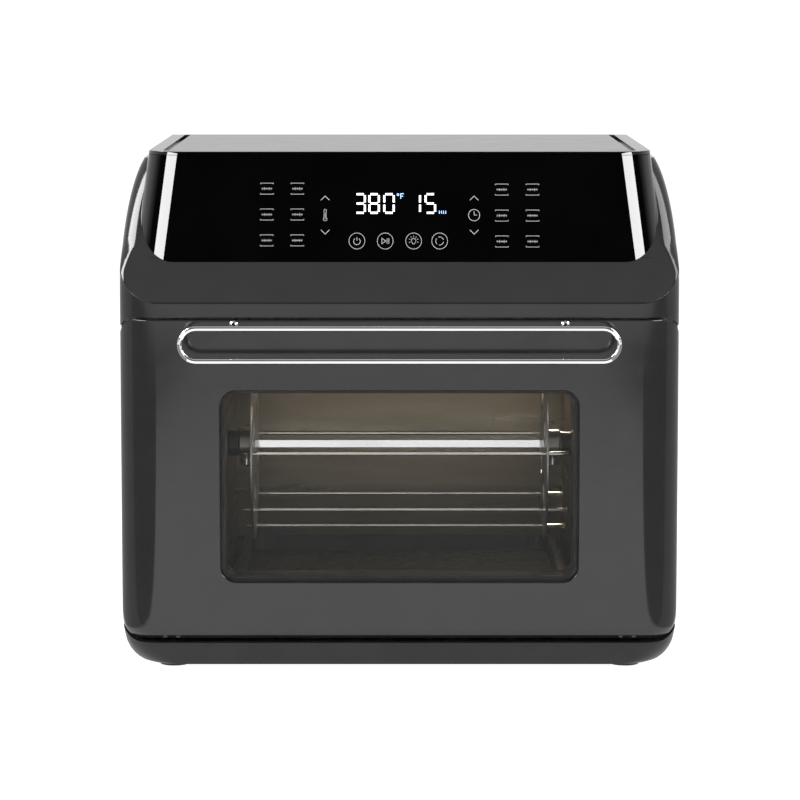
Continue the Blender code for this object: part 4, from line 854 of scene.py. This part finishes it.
def build_skewers():
    for index in range(8):
        name = f"skewer_{index + 1}"
        low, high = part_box(name)
        y, z = (low.y + high.y) / 2, (low.z + high.z) / 2
        size = (high.y - low.y) / 2
        length = high.x - low.x
        profile = [(0, size * 0.15), (0.004, size * 0.7), (0.008, size * 0.98),
                   (length - 0.0005, size * 0.98), (length - 0.0002, size * 0.8), (length, size * 0.5)]
        piece = new_object(f"{name}_rod", lathe((low.x, y, z), (1, 0, 0), profile, 20), "chrome")
        settle(piece, "spit", "chrome", name)


def build_thumbscrews():
    for label, body in (("left", "left_screw"), ("right", "right_screw")):
        name = f"thumbscrew_{label}"
        low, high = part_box(name)
        x, y = (low.x + high.x) / 2, (low.y + high.y) / 2
        size = (high.x - low.x) / 2
        tall = high.z - low.z
        head = 0.006
        profile = [(0, size * 0.45), (0.0002, size * 0.75), (0.0008, size * 0.96), (0.0014, size),
                   (head - 0.0010, size), (head - 0.0004, size * 0.93), (head, size * 0.86), (head, 0.0018),
                   (tall - 0.0004, 0.0018), (tall, 0.0014)]
        screw = new_object(f"{name}_turned", lathe((x, y, low.z), (0, 0, 1), profile, 40), "chrome")
        grooves = []
        for index in range(18):
            angle = 2 * math.pi * index / 18
            out_x, out_y = (size + 0.0002) * math.cos(angle), (size + 0.0002) * math.sin(angle)
            centre = Vector((x + out_x, y + out_y, low.z + 0.0012))
            grooves.append(rod(centre, centre + Vector((0, 0, head - 0.0022)), 0.0004, steps=8))
        carve(screw, merge(grooves))
        settle(screw, body, "chrome", name)


def build_shaft():
    low, high = SHAFT_LOW, SHAFT_HIGH
    half = (high.z - low.z) / 2
    chamfer = 0.0005
    start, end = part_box("idler_bearing")[1].x + GAP, high.x
    rings = []
    for x, inset in ((start, 0.0006), (start + 0.0006, 0.0), (end - 0.0006, 0.0), (end, 0.0006)):
        size = half - inset
        ring = []
        for sy, sz in ((1, 1), (-1, 1), (-1, -1), (1, -1)):
            pair = [(sy * size, sz * (size - chamfer)), (sy * (size - chamfer), sz * size)]
            if sy * sz < 0:
                pair.reverse()
            ring += [Vector((x, SPIT.y + y, SPIT.z + z)) for y, z in pair]
        rings.append(ring)
    shaft = new_object("spit_shaft", loft(rings), "chrome")
    fuse(shaft, rod((low.x, SPIT.y, SPIT.z), (start + 0.001, SPIT.y, SPIT.z), half * 0.84, 0.0004, 32))
    settle(shaft, "spit", "steel", "rotisserie_shaft")


# Control panel marks


PRINT_LIFT = 0.00006
PRINT_DEPTH = 0.00012


def on_panel(u, v, lift=PRINT_LIFT):
    """A point on the leaning panel, from its x and its height, lifted off the surface."""
    z = v
    slope = math.hypot(1.0, PANEL_LEAN)
    return Vector((u, head_front(z) - lift / slope, z + lift * PANEL_LEAN / slope))


def strip(target, points, width, closed=False):
    """A raised ribbon along a path of (x, height) pairs on the panel, with mitred joints."""
    path = [Vector(point) for point in points]
    count = len(path)
    rows = []
    for i, point in enumerate(path):
        before = path[i - 1] if closed or i > 0 else None
        after = path[(i + 1) % count] if closed or i < count - 1 else None
        ways = []
        if before is not None:
            ways.append((point - before).normalized())
        if after is not None:
            ways.append((after - point).normalized())
        way = sum(ways, Vector((0.0, 0.0))).normalized()
        normal = Vector((-way.y, way.x))
        stretch = min(2.5, 1.0 / max(0.35, abs(ways[0].dot(way))))
        side = normal * width / 2 * stretch
        row = []
        for place, lift in ((point + side, PRINT_LIFT), (point - side, PRINT_LIFT),
                            (point - side, -PRINT_DEPTH), (point + side, -PRINT_DEPTH)):
            row.append(target.verts.new(on_panel(place.x, place.y, lift)))
        rows.append(row)
    pairs = list(zip(rows, rows[1:])) + ([(rows[-1], rows[0])] if closed else [])
    for first, second in pairs:
        for k in range(4):
            m = (k + 1) % 4
            target.faces.new((first[k], first[m], second[m], second[k]))
    if not closed:
        target.faces.new(rows[0])
        target.faces.new(list(reversed(rows[-1])))


def arc(cx, cz, radius, start, end, steps=28):
    angles = [math.radians(start + (end - start) * i / steps) for i in range(steps + 1)]
    return [(cx + radius * math.cos(angle), cz + radius * math.sin(angle)) for angle in angles]


def ring_mark(target, cx, cz, radius, width):
    strip(target, arc(cx, cz, radius, 0, 360, 40)[:-1], width, closed=True)


def digit(target, left, low, wide, tall, lit, width=0.0013):
    """A seven-segment digit. lit names the bars: t top, m middle, b bottom, and the four upright ones."""
    gap = width * 0.55
    right, high, middle = left + wide, low + tall, low + tall / 2
    bars = {
        "t": ((left + gap, high), (right - gap, high)),
        "m": ((left + gap, middle), (right - gap, middle)),
        "b": ((left + gap, low), (right - gap, low)),
        "1": ((left, middle + gap), (left, high - gap)),
        "2": ((right, middle + gap), (right, high - gap)),
        "3": ((left, low + gap), (left, middle - gap)),
        "4": ((right, low + gap), (right, middle - gap)),
    }
    for key in lit:
        strip(target, bars[key], width)


def build_display():
    low, tall, wide = 0.3012, 0.0121, 0.0062
    lit = bmesh.new()
    digit(lit, -0.0290, low, wide, tall, "tmb24")
    digit(lit, -0.0198, low, wide, tall, "tmb1234")
    digit(lit, -0.0100, low, wide, tall, "tb1234")
    digit(lit, 0.0073, low, wide, tall, "24")
    digit(lit, 0.0172, low, wide, tall, "tmb14")
    piece = new_object("display_digits", lit)
    piece.data.materials.append(glow_finish("display_white", (0.93, 0.95, 1.0), 1.1))
    settle(piece, "base", "display_black")
    small = bmesh.new()
    ring_mark(small, -0.0010, 0.3130, 0.0006, 0.0004)
    strip(small, ((0.0008, 0.3103), (0.0008, 0.3136), (0.0028, 0.3136)), 0.0005)
    strip(small, ((0.0008, 0.3120), (0.0024, 0.3120)), 0.0005)
    for x in (0.0262, 0.0276, 0.0290, 0.0304):
        strip(small, ((x, 0.3006), (x, 0.3026)), 0.0005)
    piece = new_object("display_units", small)
    piece.data.materials.append(glow_finish("display_blue", (0.35, 0.55, 1.0), 1.0))
    settle(piece, "base", "display_black")


def build_marks():
    marks = bmesh.new()
    line = 0.00036
    left_presets = ((-0.0873, -0.0672), (0.3169, 0.3001, 0.2833))
    right_presets = ((0.0673, 0.0875), (0.3163, 0.2994, 0.2826))
    for centre_xs, rows in (left_presets, right_presets):
        for x in centre_xs:
            for z in rows:
                preset_mark(marks, x, z, line)
    for x in (-0.0489, 0.0491):
        strip(marks, ((x - 0.0028, 0.3094), (x, 0.3121), (x + 0.0028, 0.3094)), line * 1.1)
        strip(marks, ((x - 0.0028, 0.2901), (x, 0.2874), (x + 0.0028, 0.2901)), line * 1.1)
    thermometer(marks, -0.0489, 0.2998, line)
    ring_mark(marks, 0.0491, 0.2997, 0.0037, line)
    strip(marks, ((0.0491, 0.3021), (0.0491, 0.2997), (0.0510, 0.2997)), line)
    buttons(marks, line)
    piece = new_object("panel_marks", marks)
    # Grey print, with a faint painted glow standing in for the light that falls on it.
    piece.data.materials.append(glow_finish("print_grey_painted_glow", (0.40, 0.40, 0.41), 0.30))
    settle(piece, "base", "panel_black")


def preset_mark(marks, x, z, line):
    """A plain bar of dashes between two bracket lines, in place of a word."""
    half, rise = 0.0042, 0.0036
    for way in (-1, 1):
        edge, hook = z + way * rise, z + way * (rise - 0.0007)
        strip(marks, ((x - half, hook), (x - half, edge), (x + half, edge), (x + half, hook)), line * 0.8)
    for i in range(5):
        u = x - 0.0030 + i * 0.0015
        tall = 0.0009 if i % 2 else 0.0006
        strip(marks, ((u, z - tall), (u, z + tall)), line)
    strip(marks, ((x - 0.0030, z), (x + 0.0030, z)), line * 0.6)


def thermometer(marks, x, z, line):
    bulb = 0.0012
    strip(marks, arc(x, z - 0.0026, bulb, 130, 410, 20) + [(x + 0.0007, z + 0.0030)]
          + arc(x, z + 0.0030, 0.0007, 0, 180, 8)[1:], line * 0.8, closed=True)
    strip(marks, ((x, z - 0.0026), (x, z + 0.0012)), line)


def buttons(marks, line):
    z, radius = 0.2829, 0.0052
    places = (-0.0280, -0.0094, 0.0093, 0.0264)
    for x in places:
        ring_mark(marks, x, z, radius, line * 0.9)
    power, play, lamp, turn = places
    strip(marks, arc(power, z - 0.0002, 0.0022, 125, 415, 26), line)
    strip(marks, ((power, z + 0.0002), (power, z + 0.0026)), line)
    triangle = ((play - 0.0022, z - 0.0018), (play - 0.0022, z + 0.0018), (play + 0.0004, z))
    strip(marks, triangle, line, closed=True)
    for shift in (0.0012, 0.0024):
        strip(marks, ((play + shift, z - 0.0018), (play + shift, z + 0.0018)), line)
    cap = [(lamp - 0.0007, z - 0.0019), (lamp + 0.0007, z - 0.0019)]
    strip(marks, arc(lamp, z + 0.0002, 0.0015, -50, 230, 22) + cap, line * 0.8, closed=True)
    for angle in (-20, 20, 55, 90, 125, 160, 200):
        way = Vector((math.cos(math.radians(angle)), math.sin(math.radians(angle))))
        strip(marks, [(lamp + way.x * r, z + 0.0002 + way.y * r) for r in (0.0023, 0.0033)], line * 0.8)
    for start in (20, 140, 260):
        strip(marks, arc(turn, z, 0.0026, start, start + 88, 12), line)


# Stage


def add_light(name, place, target, size, power, colour=(1, 1, 1)):
    data = bpy.data.lights.new(name, "AREA")
    data.shape = "RECTANGLE"
    data.size, data.size_y = size
    data.energy = power
    data.color = colour
    light = bpy.data.objects.new(name, data)
    bpy.context.scene.collection.objects.link(light)
    light.location = place
    light.rotation_euler = (Vector(target) - Vector(place)).to_track_quat("-Z", "Y").to_euler()
    light.visible_camera = False


def stage_material(name, colour, glow):
    made = Nodes(name)
    made.colour(made.noise(0.8, 2.0), tuple(0.99 * c for c in colour), colour)
    made.set(Roughness=0.9, Specular_IOR_Level=0.0)
    made.shader.inputs["Emission Color"].default_value = (1.0, 1.0, 1.0, 1.0)
    made.shader.inputs["Emission Strength"].default_value = glow
    return made.material


def card(name, corners, material):
    sheet = bmesh.new()
    sheet.faces.new([sheet.verts.new(corner) for corner in corners])
    piece = new_object(name, sheet)
    piece.data.materials.append(material)
    return piece


def build_floor():
    """A white floor, and dimmer cards on it beside the oven that only reflections show."""
    reach = 300.0
    card("floor", ((-reach, -reach, 0), (reach, -reach, 0), (reach, reach, 0), (-reach, reach, 0)),
         stage_material("floor_white", (0.30, 0.30, 0.30), 1.0))
    dim = stage_material("flag_dim", (0.01, 0.01, 0.01), 0.22)
    pale = stage_material("flag_pale", (0.01, 0.01, 0.01), 0.45)
    for side in (-1, 1):
        near, far = side * 0.265, side * 4.0
        label = "left" if side < 0 else "right"
        front = ((near, -2.40), (far, -2.40), (far, -0.60), (near, -0.20))
        rear = ((near, -0.20), (far, -0.60), (far, 3.00), (near, 3.00))
        for name, corners, shade in (("floor_flag", front, dim), ("floor_flag_rear", rear, pale)):
            flag = card(f"{name}_{label}", [(*corner, 0.0008) for corner in corners], shade)
            flag.visible_camera = False


def build_world():
    """A studio whose brightness changes with height, dark above the camera and lighter behind the oven."""
    world = bpy.data.worlds.new("studio")
    bpy.context.scene.world = world
    world.use_nodes = True
    nodes, links = world.node_tree.nodes, world.node_tree.links
    place = nodes.new("ShaderNodeTexCoord")
    split = nodes.new("ShaderNodeSeparateXYZ")
    links.new(place.outputs["Generated"], split.inputs["Vector"])
    blend = nodes.new("ShaderNodeMix")
    blend.data_type = "RGBA"
    behind = nodes.new("ShaderNodeMapRange")
    behind.inputs["From Min"].default_value = -0.10
    behind.inputs["From Max"].default_value = 0.35
    links.new(split.outputs["Y"], behind.inputs["Value"])
    links.new(behind.outputs["Result"], blend.inputs["Factor"])
    front = ((0.0, 0.72), (0.17, 0.72), (0.21, 0.008), (0.50, 0.008),
             (0.60, 0.15), (0.88, 0.20), (0.97, 0.50))
    rear = ((0.0, 0.72), (0.20, 0.72), (0.40, 0.50), (0.70, 0.40), (0.88, 0.30), (0.97, 0.50))
    for key, stops in (("A", front), ("B", rear)):
        ramp = nodes.new("ShaderNodeValToRGB")
        links.new(split.outputs["Z"], ramp.inputs["Fac"])
        while len(ramp.color_ramp.elements) < len(stops):
            ramp.color_ramp.elements.new(0.5)
        for element, (position, value) in zip(ramp.color_ramp.elements, stops):
            element.position = position
            element.color = (value, value, value, 1.0)
        links.new(ramp.outputs["Color"], next(i for i in blend.inputs if i.type == "RGBA" and i.name == key))
    links.new(next(o for o in blend.outputs if o.type == "RGBA"), nodes["Background"].inputs["Color"])
    nodes["Background"].inputs["Strength"].default_value = 1.0


def build_lights():
    """Softboxes for the panel's corners, rim lights for the shoulders, and the cavity's warm light."""
    for label, side, rim_power in (("left", -1, 24.0), ("right", 1, 9.0)):
        add_light(f"softbox_{label}", (side * 1.299, -1.070, 0.873), (side * 0.155, -0.110, 0.300),
                  (0.86, 0.42), 24.0)
        add_light(f"rim_{label}", (side * 1.40, 0.21, 1.53), (side * 0.17, -0.12, 0.26),
                  (0.75, 0.85), rim_power)
    tray_middle = (0.0, 0.03, 0.10)
    add_light("cavity_front_glow", (0.0, -0.095, 0.196), tray_middle, (0.20, 0.020), 0.050,
              (1.0, 0.86, 0.66))
    add_light("cavity_lamp_glow", (0.112, 0.1019, 0.190), tray_middle, (0.020, 0.020), 0.090,
              (1.0, 0.80, 0.58))


place_camera()
dress_frame()
build_housing()
build_control_face()
build_top_plate()
build_plinth()
build_feet()
build_rear_cover()
build_door()
build_window_frame()
build_handle()
build_wheels()
build_skewers()
build_thumbscrews()
build_shaft()
build_display()
build_marks()
build_floor()
build_world()
build_lights()
bpy.context.scene.view_settings.view_transform = "Standard"

bpy.context.view_layer.update()
